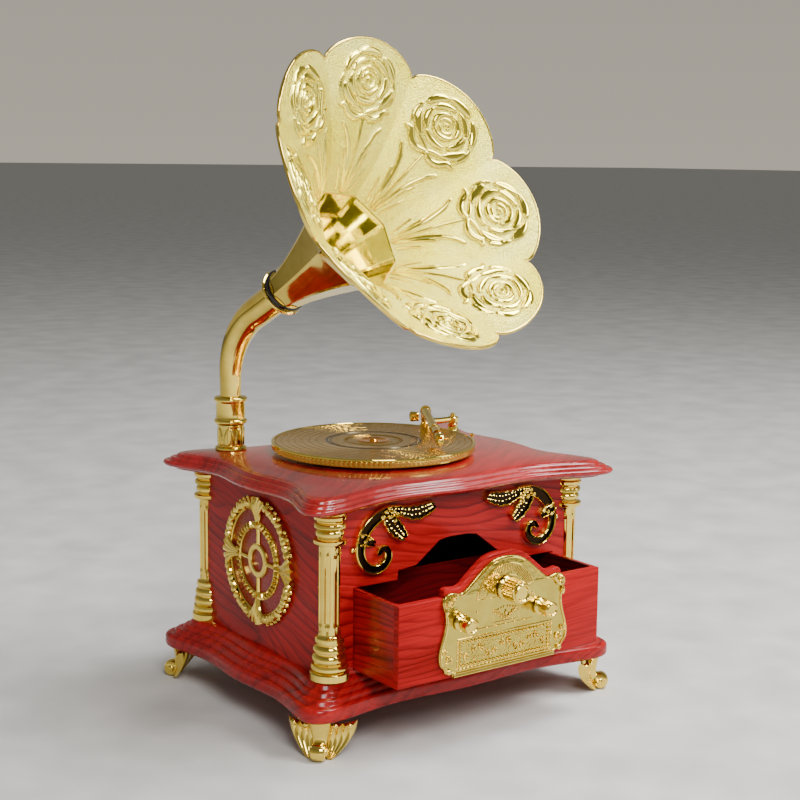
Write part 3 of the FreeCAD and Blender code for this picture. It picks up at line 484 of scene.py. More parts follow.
def finish_nodes(material, *nodes):
    """Gives carried-over CAD nodes their material."""
    for node in nodes:
        mesh = frame["nodes"][node].data
        mesh.materials.clear()
        mesh.materials.append(material)


# ---- case ---------------------------------------------------------------------------
DECK_SIZE, BASE_SIZE = (76, 61, 9.3), (75.6, 61.2, 5.5)     # half sizes before the wave, wave
SHARPNESS = 12.0
QUARTERS = ((1, 0), (0, 1), (-1, 0), (0, -1))


def wavy_ring(size, inset, z, fineness=24):
    """The flared-corner outline of the deck and the base plate, drawn in by an inset."""
    half_x, half_y, wave = size[0] - inset, size[1] - inset, size[2]
    corner = 0.5 ** (1 / SHARPNESS)
    ring = []
    for turn_x, turn_y in QUARTERS:
        for step in range(-fineness, fineness):
            v = corner * sin(pi / 2 * step / fineness)
            u = (1 - abs(v) ** SHARPNESS) ** (1 / SHARPNESS)
            x, y = u * turn_x - v * turn_y, u * turn_y + v * turn_x
            ring.append((x * (half_x - wave * dip(y)), y * (half_y - wave * dip(x)), z))
    return ring


def dip(t):
    """How far a side is drawn in, from its middle (t = 0) to its corner (t = 1)."""
    return 0.75 * cos(pi * t / 2) ** 2 + 0.58 * sin(pi * t) ** 2


def square_ring(half_x, half_y, z, count):
    """A rectangle with as many points as a wavy ring has, in step with it."""
    ring = []
    quarter = count // 4
    for turn_x, turn_y in QUARTERS:
        for step in range(quarter):
            t = 2 * step / quarter - 1
            x, y = turn_x - t * turn_y, turn_y + t * turn_x
            ring.append((x * half_x, y * half_y, z))
    return ring


def deck():
    """The top board; its moulding is (inset, height) points from the underside up."""
    moulding = [(4, 0), (3.8, 0.5), (3, 0.9), (1.8, 1), (0.7, 1.2), (0.15, 1.7), (0, 2.4), (0.2, 3),
                (0.7, 3.4), (1.3, 3.4), (1.7, 3.15), (2, 3.5), (2.15, 4.1), (2.5, 4.6), (3.1, 4.8),
                (3.6, 4.75), (3.9, 4.5), (4.2, 4.9), (4.35, 5.5), (4.8, 6), (5.4, 6.2), (5.9, 6.1),
                (6.2, 6.3), (7, DECK_TOP - DECK_Z)]
    rows = [wavy_ring(DECK_SIZE, inset, DECK_Z + h) for inset, h in moulding]
    place("deck_top", Shape().grid(rows), "case", "red_woodgrain", WOOD_TOP, replaces=["deck"], angle=50)


def base_plate():
    """The bottom board in three steps, hollow underneath where the key sits."""
    moulding = [(1.4, 0), (0.4, 0.4), (0, 1.3), (0, 4.2), (0.3, 5.2), (1, 5.8), (2, 5.9), (2.5, 5.6),
                (2.9, 6), (3.1, 6.9), (3.6, 7.6), (4.4, 7.9), (5, 7.8), (5.3, 7.5), (5.7, 7.9), (5.9, 8.8),
                (6.4, 9.5), (7.2, 9.8), (7.7, 9.6), (8, 10), (8.2, 10.9), (8.7, 11.5),
                (9.6, BASE_TOP - FOOT_H)]
    recess_x, recess_y, ceiling = 57.0, 44.5, BASE_TOP - 2.5
    rows = [wavy_ring(BASE_SIZE, inset, FOOT_H + h) for inset, h in moulding]
    inner = [square_ring(recess_x, recess_y, z, len(rows[0])) for z in (ceiling, FOOT_H)]
    place("base_moulding", Shape().grid(inner + rows), "case", "red_woodgrain", WOOD_BASE,
          replaces=["base_plate"], angle=50)


def columns():
    """Turned columns whose shafts carry long sunk panels with a square notch at each end."""
    foot = [(7.4, 0), (7.4, 2.4), (7, 2.9), (6, 3.2), (6.1, 3.5), (7, 3.9), (7.1, 4.8), (6.7, 5.8),
            (5.8, 6.3), (5.7, 6.8), (6.5, 7.2), (6.6, 8.2), (6.2, 9.2), (5.4, 9.8), (5.4, 10.2),
            (6.1, 10.7), (6.2, 11.5), (5.8, 12.5), (5.1, 13), (5.3, 13.6), (5.7, 14.6), (5.4, 15.8),
            (4.4, 16.4)]
    head = [(4.4, 12.7), (6, 12.4), (6.3, 12), (6.3, 11), (5.9, 10.6), (4.8, 10.2), (4.7, 9.6), (5.3, 9.2),
            (5.4, 8.3), (5.2, 7.6), (4.8, 7.2), (5.1, 6.8), (5.9, 6.3), (5.9, 5.2), (5.6, 4.7), (5, 4.3),
            (5.2, 3.7), (6.1, 3.2), (6.2, 2.2), (5.8, 1.7), (5.7, 1.4), (6.2, 1), (6.2, 0)]
    low, high, shaft_r, sunk_by = BASE_TOP + 16.8, DECK_Z - 13, 4.2, 0.45
    panels, panel_turn, panel_end, notch_turn, notch = 8, 13, 4.2, 6, (1.6, 3.2)
    shaft = [(shaft_r, low + (high - low) * i / 40) for i in range(41)]
    profile = [(r, BASE_TOP + h) for r, h in foot] + shaft + [(r, DECK_Z - h) for r, h in head]

    def fluted(r, z, a):
        if not low < z < high:
            return r
        pitch = 360 / panels
        across = abs((degrees(a) + pitch / 2) % pitch - pitch / 2)
        from_end = min(z - low, high - z)
        in_panel = across < panel_turn and from_end > panel_end
        in_notch = across < notch_turn and notch[0] < from_end < notch[1]
        return r - sunk_by if in_panel or in_notch else r

    inside_x, inside_y = CASE_X - 0.02, CASE_Y - 0.02
    case_block = Shape().block((-inside_x, -inside_y, 0), (inside_x, inside_y, 120))
    for name, sx, sy in CORNERS:
        shape = Shape().lathe(profile, (sx * COLUMN_X, sy * COLUMN_Y, 0), steps=96, radius=fluted)
        cut_away(gild("pillar_" + name, shape, "case", "column_" + name, 38), case_block)


def cut_away(piece, shape):
    """Takes a shape out of a piece, for good."""
    cutter = add_object("cutter", raw_mesh("cutter", shape))
    cut = piece.modifiers.new("cut", "BOOLEAN")
    cut.operation, cut.solver, cut.object = "DIFFERENCE", "EXACT", cutter
    bpy.context.view_layer.update()
    seen = piece.evaluated_get(bpy.context.evaluated_depsgraph_get())
    piece.data = bpy.data.meshes.new_from_object(seen)
    piece.modifiers.clear()
    bpy.data.objects.remove(cutter)


def foot_stem():
    """The smooth stem, from the base plate down to the toe, squarish in section."""
    path = smooth([(1.6, FOOT_H - 0.02), (1.7, 10.4), (2.2, 7.4), (3.4, 4.8), (5, 2.8)], 5)
    widths = smooth([(4.2, 4.2), (3.6, 3.4), (3, 2.7), (2.6, 2.2), (2.2, 1.9)], 5)
    rows = []
    for i, ((u, z), (wide, deep)) in enumerate(zip(path, widths)):
        (u0, z0), (u1, z1) = path[max(i - 1, 0)], path[min(i + 1, len(path) - 1)]
        along = Vector((u1 - u0, 0, z1 - z0)).normalized()
        out = Vector((-along.z, 0, along.x))
        rows.append([Vector((u, 0, z)) + out * (boxy(cos(a), 0.45) * deep)
                     + Vector((0, 1, 0)) * (boxy(sin(a), 0.55) * wide) for a in turns(28)])
    return Shape().grid(rows)


def foot_wing(side, ribs=4, wide=28, tall=22):
    """Half of the foot's shell, with flutes that spread from the toe to the tips. s runs across
    from the middle and t up."""
    thick, floor_gap, height, sag, ripple = 1.3, 0.3, 12.9, 0.7, 0.5

    def at(s, t, back):
        z = floor_gap + t * (height - sag * 4 * s * (1 - s) + ripple * cos(2 * pi * ribs * s))
        reach = 4.6 + 8.2 * sin(t * pi / 2) ** 0.85
        inner = 2.6 + 0.5 * t
        across = inner + (reach - inner) * s
        flute = 0.75 * abs(sin(pi * ribs * s)) * (0.25 + 0.75 * t)
        u = 4.8 - 3.4 * sin(t * pi * 0.62) - 3.6 * s ** 1.6 * t + 1.3 * t ** 4 + flute
        return (u - back, side * across, z)

    rows = []
    for j in range(tall + 1):
        faces, backs = ([at(i / wide, j / tall, back) for i in range(wide + 1)] for back in (0, thick))
        rows.append(faces + backs[::-1])
    return Shape().grid(rows)


def feet():
    """Scroll feet on the diagonals: a smooth stem, a rolled toe and two fluted wings swept back."""
    toe = [(0.05, -2.7), (2.2, -2.7), (2.9, -2.4), (3.3, -1.6), (3.4, 0), (3.3, 1.6), (2.9, 2.4), (2.2, 2.7)]
    toe_out = 6.4
    shape = foot_stem().lathe(toe, (toe_out, 0, 3.42), (0, 1, 0), 28)
    for side in (-1, 1):
        shape.add(foot_wing(side))
        shape.bead((toe_out, side * 2.7, 3.4), 1.5, (1, 0.55, 1), 12)
        shape.bead((0.6, side * 10.4, 11.9), 1.35, (1, 1, 0.9), 14)
        shape.bead((2.6, side * 5.4, 12), 1.1, (0.9, 1, 1), 12)
    for name, sx, sy in CORNERS:
        move = Matrix.Translation((sx * FOOT_X, sy * FOOT_Y, 0)) @ Matrix.Rotation(atan2(sy, sx), 4, "Z")
        gild("scroll_foot_" + name, Shape().add(shape, move), "case", "foot_" + name)


# ---- ornaments on the case ------------------------------------------------------------
ACROSS = (1, 0, 0)      # out of a side wall, which is a medallion's own axis
BAND_BEADS_R, RING_BEADS, RING_BEAD_R = 24.9, 40, 0.58


def on_wheel(r, turn, h=0.0):
    """A point of a side medallion, at a radius and an angle from the top, h off the wall."""
    a = radians(turn)
    return (h, r * sin(a), r * cos(a))


def wheel_leaf(wheel, r0, a0, r1, a1, width, lift, bend):
    """A leaf of the outer band, from one radius and angle to another."""
    middle = on_wheel((r0 + r1) / 2, (a0 + a1) / 2 + bend, lift + 0.5)
    path = smooth([on_wheel(r0, a0, lift), middle, on_wheel(r1, a1, lift * 0.7)], 5)
    last = len(path) - 1
    taper = [width * (0.35 + 0.65 * sin(pi * min(1, 0.15 + 0.85 * i / last))) for i in range(last + 1)]
    wheel.tube(path, taper, 8, 0.75, ACROSS)


def wheel_quarter(wheel, a):
    """One arm, the leaves either side of it and the fan at its end."""
    wheel.tube([on_wheel(6.4, a, 0.8), on_wheel(12.8, a, 0.8)], 0.95, 8, 0.8, ACROSS)
    for side in (-1, 1):
        for r0, a0, r1, a1, width, lift, bend in ((21.6, 15, 24.8, 20, 1.5, 1.3, 0),
                                                  (22.6, 19, 23.4, 29, 1.6, 1.2, 1),
                                                  (21.8, 27, 24.6, 34, 1.45, 1.3, 0),
                                                  (23.9, 31, 22.2, 41, 1.5, 1.2, -1),
                                                  (22.2, 39, 24.8, 45, 1.4, 1.3, 0)):
            wheel_leaf(wheel, r0, a + side * a0, r1, a + side * a1, width, lift, side * bend)
        for bead_at in (17, 24, 31, 38):
            wheel.bead(on_wheel(BAND_BEADS_R, a + side * bead_at, 0.9), 0.95, (0.9, 1, 1), 8)
    for flute in range(-2, 3):
        path = [on_wheel(15.2, a + flute * 1.6, 0.9), on_wheel(19, a + flute * 2.6, 1.4),
                on_wheel(22.4, a + flute * 5.2, 1.6), on_wheel(25.2 - 0.5 * abs(flute), a + flute * 7, 1.1)]
        wheel.tube(smooth(path, 4), [0.6 + 0.075 * k for k in range(13)], 8, 0.8, ACROSS)


def medallions():
    """A pierced wheel on each side: leafy band, beaded ring, small ring and four arms."""
    centre_y, centre_z, ground_r = 0.4, 60.6, 21
    outer = [(20.6, 0), (20.6, 0.9), (21, 1.3), (21.6, 1.2), (21.9, 0.5), (23.4, 0.5), (23.8, 0.9),
             (24.1, 0.8), (24.2, 0)]
    beaded = [(12.5, 0), (12.5, 1.3), (12.9, 1.7), (13.3, 1.6), (13.6, 1.1), (15, 1.1), (15.4, 0.9),
              (15.5, 0)]
    hub = [(4.3, 0), (4.3, 1.2), (4.7, 1.6), (6.4, 1.6), (6.9, 1.2), (6.9, 0)]
    wheel = Shape()
    for profile, steps in ((outer, 96), (beaded, 96), (hub, 64)):
        wheel.ring(profile, (0, 0, 0), ACROSS, steps)
    for i in range(RING_BEADS):
        path = [on_wheel(r, 360 * i / RING_BEADS, h) for r, h in ((13.2, 1.5), (14.2, 1.9), (15.2, 1.5))]
        wheel.tube(path, RING_BEAD_R, 6)
    for quarter in range(4):
        wheel_quarter(wheel, 90 * quarter)
    for name, sx in SIDES:
        middle = (sx * CASE_X, centre_y, centre_z)
        move = Matrix.Translation(middle) @ Matrix.Scale(sx, 4, ACROSS)
        gild("wheel_ornament_" + name, Shape().add(wheel, move), "case", "medallion_" + name)
        ground = Shape().lathe([(ground_r, 0), (ground_r, 0.25), (ground_r - 0.3, 0.4), (0.1, 0.4)], middle,
                               (sx, 0, 0), 64)
        place("ornament_ground_" + name, ground, "case", "red_woodgrain", RED_MESH)


def channel(shape, stations, lift, scallop):
    """A band with bright raised rims and a hollow between them painted dark as shade, lying on the front
    wall.
    """
    points = smooth(stations, 6)
    rim_section = ((0, 0), (0, 1.2), (0.25, 1.85), (0.6, 2.1), (1, 1.7), (1.2, 0.9))
    # painted shade: the hollow's faces take the near-black gold
    painted_shade_faces = (4, 5, 6)
    rows = []
    for i, (u, v, width) in enumerate(points):
        (u0, v0, _), (u1, v1, _) = points[max(i - 1, 0)], points[min(i + 1, len(points) - 1)]
        length = hypot(u1 - u0, v1 - v0)
        nu, nv = -(v1 - v0) / length, (u1 - u0) / length
        half = width / 2 * (1 + scallop * sin(1.05 * i))
        rim = min(0.8, half * 0.4)
        edge = [(half - share * rim, depth) for share, depth in rim_section]
        section = [(-across, depth) for across, depth in edge] + edge[::-1]
        rows.append([(u + nu * across, -CASE_Y - depth - lift * (depth > 0), v + nv * across)
                     for across, depth in section])
    shape.grid(rows, tint=lambda i, j: int(j in painted_shade_faces))
    return points


def rounded(stations):
    """Adds a round end to both ends of a band's stations."""
    made = list(stations)
    for end, beside in ((0, 1), (-1, -2)):
        (u, v, width), (u0, v0, _) = stations[end], stations[beside]
        length = hypot(u - u0, v - v0)
        du, dv = (u - u0) / length, (v - v0) / length
        tips = [(u + du * width * share, v + dv * width * share, width * wide)
                for share, wide in ((0.26, 0.86), (0.4, 0.62), (0.49, 0.16))]
        made = tips[::-1] + made if end == 0 else made + tips
    return made


def leaf_beads(relief, points):
    """Two rows of beads along a leafy band, in pairs that change sides."""
    for i in range(8, len(points) - 8, 3):
        (u0, v0, _), (u, v, width), (u1, v1, _) = points[i - 1], points[i], points[i + 1]
        length = hypot(u1 - u0, v1 - v0)
        off = width * (0.17 if i % 2 else -0.17)
        for side, size in ((off, 0.42), (-off * 0.8, 0.26)):
            at = (u - (v1 - v0) / length * side, -CASE_Y - 0.8, v + (u1 - u0) / length * side)
            relief.bead(at, size, (1.2, 1, 0.9), 7)


def scroll_ornaments():
    """C-scrolls with a leafy wing towards the middle, one each side of the drawer's opening. Each
    band is (x, z, width) stations of the left one, and each bud (x, z, radius)."""
    curl = [(-31, 86.4, 4.6), (-35.4, 86.2, 4.8), (-40.6, 84, 5), (-44.6, 80, 5), (-46.5, 75.6, 4.4),
            (-46.5, 71, 4), (-44.2, 67.1, 3.9), (-40.6, 65.3, 3.8), (-36.8, 65.9, 3.8), (-34.3, 68.6, 3.6),
            (-34.6, 71.8, 3.2), (-36.8, 72.8, 2.8), (-38.3, 71.4, 2.2)]
    wing = [(-33, 86.4, 4.4), (-30, 86.2, 4.6), (-27.2, 85.7, 4.6), (-24, 84.9, 5.9), (-20.6, 84.6, 6.4),
            (-17.4, 85.2, 5.8), (-15, 85.8, 5)]
    branch = [(-34.2, 84.2, 5.6), (-32.2, 81.4, 6.6), (-30, 79, 6.4), (-28.2, 77.2, 5.4)]
    thumb = [(-46.2, 77.6, 4.4), (-43.4, 76.6, 4.6), (-41.8, 75.8, 3.4)]
    buds = [(-36.6, 84.6, 1), (-35.2, 86.4, 0.9), (-33.4, 84.2, 1.1), (-32, 86, 0.9), (-45.8, 78.6, 0.9),
            (-44.4, 76.4, 0.9), (-46.4, 75.4, 0.8), (-42.4, 77, 0.8), (-31.2, 82.4, 0.9), (-30, 84.8, 0.8)]
    for name, sx in SIDES:
        shape, relief = Shape(), Shape()
        for band, lift, leafy in ((curl, 0, False), (wing, 0.02, True), (branch, 0.04, True),
                                  (thumb, 0.03, False)):
            flipped = [(-sx * u, v, width) for u, v, width in rounded(band)]
            points = channel(shape, flipped, lift, 0.06 if leafy else 0)
            if leafy:
                leaf_beads(relief, points)
        for u, v, r in buds:
            relief.bead((-sx * u, -CASE_Y - 1.4, v), r, (1, 0.7, 1), 8)
        relief.bead((sx * 49.6, -CASE_Y - 0.6, 73.6), 0.9, (1, 0.8, 1), 10)
        gild("scroll_leaf_" + name, shape.add(relief), "case", "scroll_ornament_" + name, inlay_and_painted_light=[GOLD_PAINTED_SHADE])


def case():
    """The hidden and plain parts of the case keep their CAD meshes."""
    finish_nodes(WOOD_WALLS, "case_walls")
    soften("case_walls", 0.25)
    finish_nodes(RED_PLASTIC, "drawer_bay")
    finish_nodes(STEEL, "case_screws")


# ---- drawer -----------------------------------------------------------------------------
def both_sides(half):
    """Completes an outline given as its right-hand half, bottom to top, as seen from the front."""
    return half + [(-x, z) for x, z in reversed(half) if x > 0]


def drawer():
    """The tray keeps its CAD mesh; the board in front of it has a crown behind the gold plate."""
    finish_nodes(WOOD_TRAY, "drawer_tray")
    soften("drawer_tray", 0.3)
    x, z0, rim = DRAWER_HI.x, DRAWER_LO.z, node_box("drawer_tray")[1].z
    crown = smooth([(28.3, rim), (28.2, 61.2), (26.6, 62.3), (23.6, 61.9), (20.6, 62.2), (17.2, 64.8),
                    (13, 68.2), (8.6, 71.2), (4.2, 72.2), (0, 72.3)], 5)
    outline = both_sides([(x, z0), (x, rim)] + crown)
    board = Shape().slab(outline, DRAWER_HI.y, DRAWER_LO.y, 0.7)
    place("drawer_board", board, "drawer", "red_woodgrain", WOOD_DRAWER, replaces=["drawer_front"])


class PlateRelief(Shape):
    """Fine raised work lying on the gold plate's face, placed by x and z."""

    def line(self, points, radius=0.32, lift=0.0, steps=8):
        self.tube([(x, PLATE_Y - lift, z) for x, z in points], radius, steps, 1, (0, 1, 0))

    def stud(self, x, z, lift, radius, squash=(1, 1, 1), steps=8):
        self.bead((x, PLATE_Y - lift, z), radius, squash, steps)

    def curl(self, x, z, size, turn, way, radius):
        """A small spiral that starts at the angle turn and ends in a stud; way is its hand."""
        last = 14
        points = []
        for i in range(last + 1):
            a = radians(turn) + way * i * 0.36
            r = size * (1 - 0.055 * i)
            points.append((x + r * cos(a), z + r * sin(a)))
        self.line(points, [radius * (0.55 + 0.45 * sin(pi * i / last)) for i in range(last + 1)], 0.25)
        self.stud(*points[-1], 0.3, radius * 1.3)


def plate_dial(relief, z0=54.2, r0=14.0):
    """A half-round scale with 41 ticks, behind the tuning knob."""
    for radius, thick in ((r0, 0.34), (r0 - 4.4, 0.22)):
        arc = [(radius * cos(radians(a)), z0 + radius * sin(radians(a))) for a in range(20, 173, 4)]
        relief.line(arc, thick)
    relief.line([(-r0, z0 + 1.8), (-3.2, z0 + 1.6)], 0.22)
    for i in range(41):
        a = radians(22 + 146 * i / 40)
        ends = (r0 - (3.2 if i % 5 else 4), r0 - (0.6 if i % 5 else 0.2))
        relief.line([(r * cos(a), z0 + r * sin(a)) for r in ends], 0.22, 0.1, 6)


def plate_window(relief, half=6.2, low=46.2):
    """An open frame filled with plain scrollwork, and the rule below it."""
    relief.line([(-half, low), (half, low)], 0.3)
    for sx in (-1, 1):
        relief.line([(sx * half, low), (sx * half, 52.2)], 0.24)
        for i in range(4):
            relief.curl(sx * (1 + 1.35 * i), 47.7 + 0.9 * i, 0.95, 90 + sx * 60, sx, 0.3)
            relief.stud(sx * (0.9 + 1.3 * i), 51.6 - 0.3 * i, 0.2, 0.42, (1, 0.8, 1.3))
    relief.stud(0, 49.4, 0.2, 0.8, (0.8, 0.6, 1.5), 10)
    relief.line([(-13, 45), (13, 45)], 0.3)
    for i in range(5):
        relief.stud(-9 + 4.5 * i, 45, 0.3, 0.55, (1.2, 0.7, 0.8))
    for x, z in ((-13.4, 51.6), (13.2, 54.6)):
        relief.stud(x, z, 0.1, 0.7, (1, 0.6, 1), 10)


def plate_grille(relief, half=22.0, low=31.6, high=41.8):
    """A framed panel edged with beads, with scrolls and a fine pebbling inside."""
    for z in (low - 0.6, high + 0.6):
        relief.line([(-half - 0.6, z), (half + 0.6, z)], 0.36)
    for x in (-half - 0.6, half + 0.6):
        relief.line([(x, low - 0.6), (x, high + 0.6)], 0.3)
    for i in range(25):
        for z in (low + 0.7, high - 0.7):
            relief.stud(-half + 0.6 + (2 * half - 1.2) * i / 24, z, 0.2, 0.62)
    for i in range(1, 6):
        for x in (-half + 0.7, half - 0.7):
            relief.stud(x, low + 0.6 + (high - low - 1.2) * i / 6, 0.2, 0.62)
    for i in range(6):
        x = -half + 5.2 + (2 * half - 10.4) * i / 5
        way = 1 if i % 2 else -1
        relief.curl(x - 1.3, 36.7 + way * 1.2, 1.7, 90 * way, way, 0.4)
        relief.curl(x + 1.5, 36.7 - way * 1.2, 1.5, 90 * way + 180, way, 0.36)
    pips = random.Random(7)
    for _ in range(260):
        x, z = pips.uniform(-half + 1.8, half - 1.8), pips.uniform(low + 1.7, high - 1.7)
        relief.stud(x, z, 0.05, pips.uniform(0.2, 0.36), (1, 0.8, 1), 6)


def plate_corners(relief):
    """The double foot line, and the curls and drops at the plate's sides."""
    for z, thick in ((28.9, 0.42), (29.9, 0.34)):
        relief.line([(-24.4, z), (24.4, z)], thick, 0.1)
    for sx in (-1, 1):
        for x, z, size, turn, way, radius in ((26.8, 57.6, 2.1, 90 + sx * 40, 1, 0.85),
                                              (24.2, 59, 1.2, 90 - sx * 40, -1, 0.6),
                                              (26.8, 35.4, 1.7, 270 - sx * 30, -1, 0.75),
                                              (28.2, 38.6, 1.1, 270 + sx * 50, 1, 0.55)):
            relief.curl(sx * x, z, size, turn, way * sx, radius)
        relief.stud(sx * 28, 53.6, 0.4, 0.9, (0.9, 0.8, 2), 10)
        relief.stud(sx * 26.6, 31.2, 0.4, 1.1, (1, 0.8, 1), 10)


def radio_plate():
    """The gold plate on the drawer: a dial, a window, a beaded grille and curls at its corners."""
    half = [(24.4, 28.5), (25, 30), (27.8, 30.4), (28.6, 32.2), (30.2, 33.8), (30.9, 37), (30.3, 41),
            (28.8, 45.6), (27.9, 50.4), (28.6, 54.2), (29.5, 57.2), (28.2, 59.6), (25.2, 60.6), (22.4, 60),
            (20, 60.2), (16, 63.2), (12, 66.6), (8, 69.2), (4.2, 70.6), (0, 71)]
    outline = both_sides(smooth(half, 4))
    border = shrunk(outline, 0.75)
    relief = PlateRelief()
    relief.line(border + border[:1], 0.38, 0.05)
    for part in (plate_dial, plate_window, plate_grille, plate_corners):
        part(relief)
    plate = Shape().slab(outline, DRAWER_LO.y, PLATE_Y, 0.35).add(relief.tinted(1))
    place("radio_plate", plate, "drawer", "gold_plate", GOLD_SATIN, GOLD, replaces=["radio_faceplate"])


def knobs():
    """A ribbed tuning knob and two small faceted ones, each with its shaft through the board.
    Heights run forwards from the seat, just off the plate."""
    seat = -PLATE_Y + 0.3
    board = -DRAWER_HI.y - seat
    shaft = [(2.2, board - 1.2), (2.2, board - 0.3), (1.2, board - 0.3), (1.2, -0.05)]
    ribs = [(4.2, 1.7 + 0.8 * i) for i in range(9)]
    main = shaft + [(4.4, 0), (4.7, 0.3), (4.7, 0.8), (4.4, 1.2), (4, 1.4)] + ribs
    main += [(3.9, 8.3), (3.5, 8.5), (3.5, 8.8), (3.75, 9.1), (3.7, 9.5), (3.4, 9.8), (3, 9.75), (2.6, 9.3),
             (2.4, 8.9), (1.2, 8.8), (0.1, 8.85)]
    grip = [(3.1, 4.2 + 0.55 * i) for i in range(5)]
    small = shaft + [(3, 0), (3.3, 0.3), (3.3, 1), (3, 1.4), (2.5, 1.8), (2.45, 3.2), (2.8, 3.8)] + grip
    small += [(2.95, 6.8), (2.6, 7.2), (2.2, 7.4), (1.9, 7.2), (1.7, 6.9), (0.1, 7)]

    def ribbed(r, h, a):
        return r + 0.3 * cos(20 * a) - 0.2 if 1.6 < h < 8.2 else r

    def faceted(r, h, a):
        return r * (1 - 0.05 * (1 - cos(8 * a)) / 2) if 4.1 < h < 6.5 else r

    for node, joint, profile, shaped in (("tuning_knob", "tuning_turn", main, ribbed),
                                         ("knob_left", "knob_left_turn", small, faceted),
                                         ("knob_right", "knob_right_turn", small, faceted)):
        at = joint_at(joint)
        shape = Shape().lathe(profile, (at.x, -seat, at.z), (0, -1, 0), 160, shaped)
        gild(node + "_turned", shape, node, node, 30)


# ---- turntable --------------------------------------------------------------------------
def turntable():
    """A knurled platter and the record in it, whose profile runs inwards over grooves, two dark
    rings and the label to the spindle's cap."""
    lo, hi = node_box("platter")
    r, thick = hi.x, hi.z - lo.z
    knurl = [(r - 0.25, 1 + 0.3 * i) for i in range(6)]
    profile = [(r - 3.2, 0), (r - 1.4, 0.05), (r - 0.9, 0.35), (r - 0.9, 0.8), (r - 0.5, 0.9)] + knurl
    profile += [(r - 0.6, 2.65), (r - 0.3, 2.8), (r, 3), (r, thick - 0.45), (r - 0.15, thick - 0.15),
                (r - 0.5, thick), (r - 1.1, thick), (r - 1.35, thick - 0.2), (r - 1.5, thick - 0.8),
                (0.1, thick - 0.8)]

    def knurled(radius, h, a):
        return radius - 0.32 * (0.5 + 0.5 * cos(132 * a)) if 0.95 < h < 2.55 else radius

    shape = Shape().lathe(profile, (0, PLATTER.y, lo.z), steps=792, radius=knurled)
    gild("platter_knurled", shape, "turntable", "platter", 30)

    edge, level = r - 1.7, hi.z - 0.1
    profile = [(edge, -0.68), (edge, -0.15), (edge - 0.2, 0), (edge - 2.2, 0)]
    tints = [0] * len(profile)
    for groove in (38, 35.4, 32.6, 29.6, 26.6, 23.6):
        profile += [(groove + 0.3, 0), (groove + 0.1, -0.16), (groove - 0.1, -0.16), (groove - 0.3, 0)]
        tints += [0] * 4
    for outer, inner in ((19.8, 18.7), (18.2, 17.5)):
        profile += [(outer, 0), (outer - 0.1, -0.14), (inner + 0.1, -0.14), (inner, 0)]
        tints += [1, 1, 1, 0]
    profile += [(12.4, 0), (12.1, -0.25), (11, -0.3), (10.6, -0.1), (6.6, 0), (6.2, 0.25), (5.6, 0.3),
                (5, 0.05), (3, -0.25), (1.9, -0.2), (1.4, 0.4), (1, 0.7), (0.1, 0.75)]
    tints += [0] * 4 + [2] * 9
    record = Shape().lathe(profile, (0, PLATTER.y, level), steps=192, tint=lambda i, j: tints[i])
    place("record", record, "turntable", "gold_record", RECORD_GOLD, GOLD_GREY, GOLD_ORANGE,
          replaces=["record_disc"])


# ---- tonearm ----------------------------------------------------------------------------
ARCH_X, ARCH_Y = 37.9, 24.9      # where the arm's arch stands on the cross tube


def tonearm_pegs():
    """The pivot post and the park peg, with heights from the deck's top."""
    stand = [(1.2, -2.9), (1.2, -0.05), (3.1, -0.05), (3.4, 0.3), (3.3, 0.8), (2.7, 1.1), (2.3, 1.7),
             (2.2, 3.6), (2.3, 4.1), (2.1, 4.4), (1.17, 4.5), (1.17, 8.4), (1, 8.9), (0.1, 9)]
    peg = [(0.8, -2.9), (0.8, -0.05), (1.5, 0), (1.7, 0.3), (1.5, 0.8), (0.8, 1.2), (0.65, 2.4),
           (0.65, 3.2), (0.95, 3.6), (0.8, 4.1), (0.1, 4.2)]
    rest_lo, rest_hi = node_box("tonearm_rest")
    for name, profile, at, steps, node in (
            ("tonearm_stand", stand, PIVOT, 40, "tonearm_post"),
            ("tonearm_peg", peg, (rest_lo + rest_hi) / 2, 32, "tonearm_rest")):
        gild(name, Shape().lathe(profile, (at.x, at.y, DECK_TOP), steps=steps), "case", node)


def tonearm_tube():
    """The cross tube from the pivot, its arch and the long arm, as (x, y, z over the deck, radius)."""
    x, y = PIVOT.x, PIVOT.y
    path = [(x - 1.9, y - 0.1, 6.2, 1.3), (x - 9, y - 0.5, 6.3, 1.4), (39.6, 25.2, 6.9, 1.6),
            (ARCH_X, ARCH_Y, 8.6, 1.8), (37.5, 24.6, 10.8, 1.9), (36.4, 22.8, 12, 2),
            (34.2, 19.4, 11.7, 1.95), (29, 10, 10.7, 1.75), (22.4, -1.9, 9.6, 1.7), (17.2, -10.9, 8.9, 1.7)]
    path = [(px, py, DECK_TOP + pz, r) for px, py, pz, r in smooth(path, 7)]
    hub = [(1.3, 4.85), (2.2, 4.85), (2.5, 5.2), (2.5, 7), (2.2, 7.35), (1.3, 7.35)]
    arm = Shape().ring(hub, (x, y, DECK_TOP), steps=40)
    arm.tube([p[:3] for p in path], [p[3] for p in path], 20)
    for share in (0.3, 0.62, 0.93):
        i = int(share * (len(path) - 2))
        at, r = Vector(path[i][:3]), path[i][3]
        collar = [(r + 0.05, -0.7), (r + 0.4, -0.5), (r + 0.45, 0), (r + 0.4, 0.5), (r + 0.05, 0.7)]
        arm.lathe(collar, at, Vector(path[i + 1][:3]) - at, 24)
    weight = [(1.9, 0), (2.1, 0.2), (2.1, 2.6), (1.7, 3), (0.1, 3.05)]
    arm.lathe(weight, (ARCH_X, ARCH_Y, DECK_TOP + 3.6), steps=28)
    gild("tonearm_tube", arm, "tonearm", "tonearm_arm")


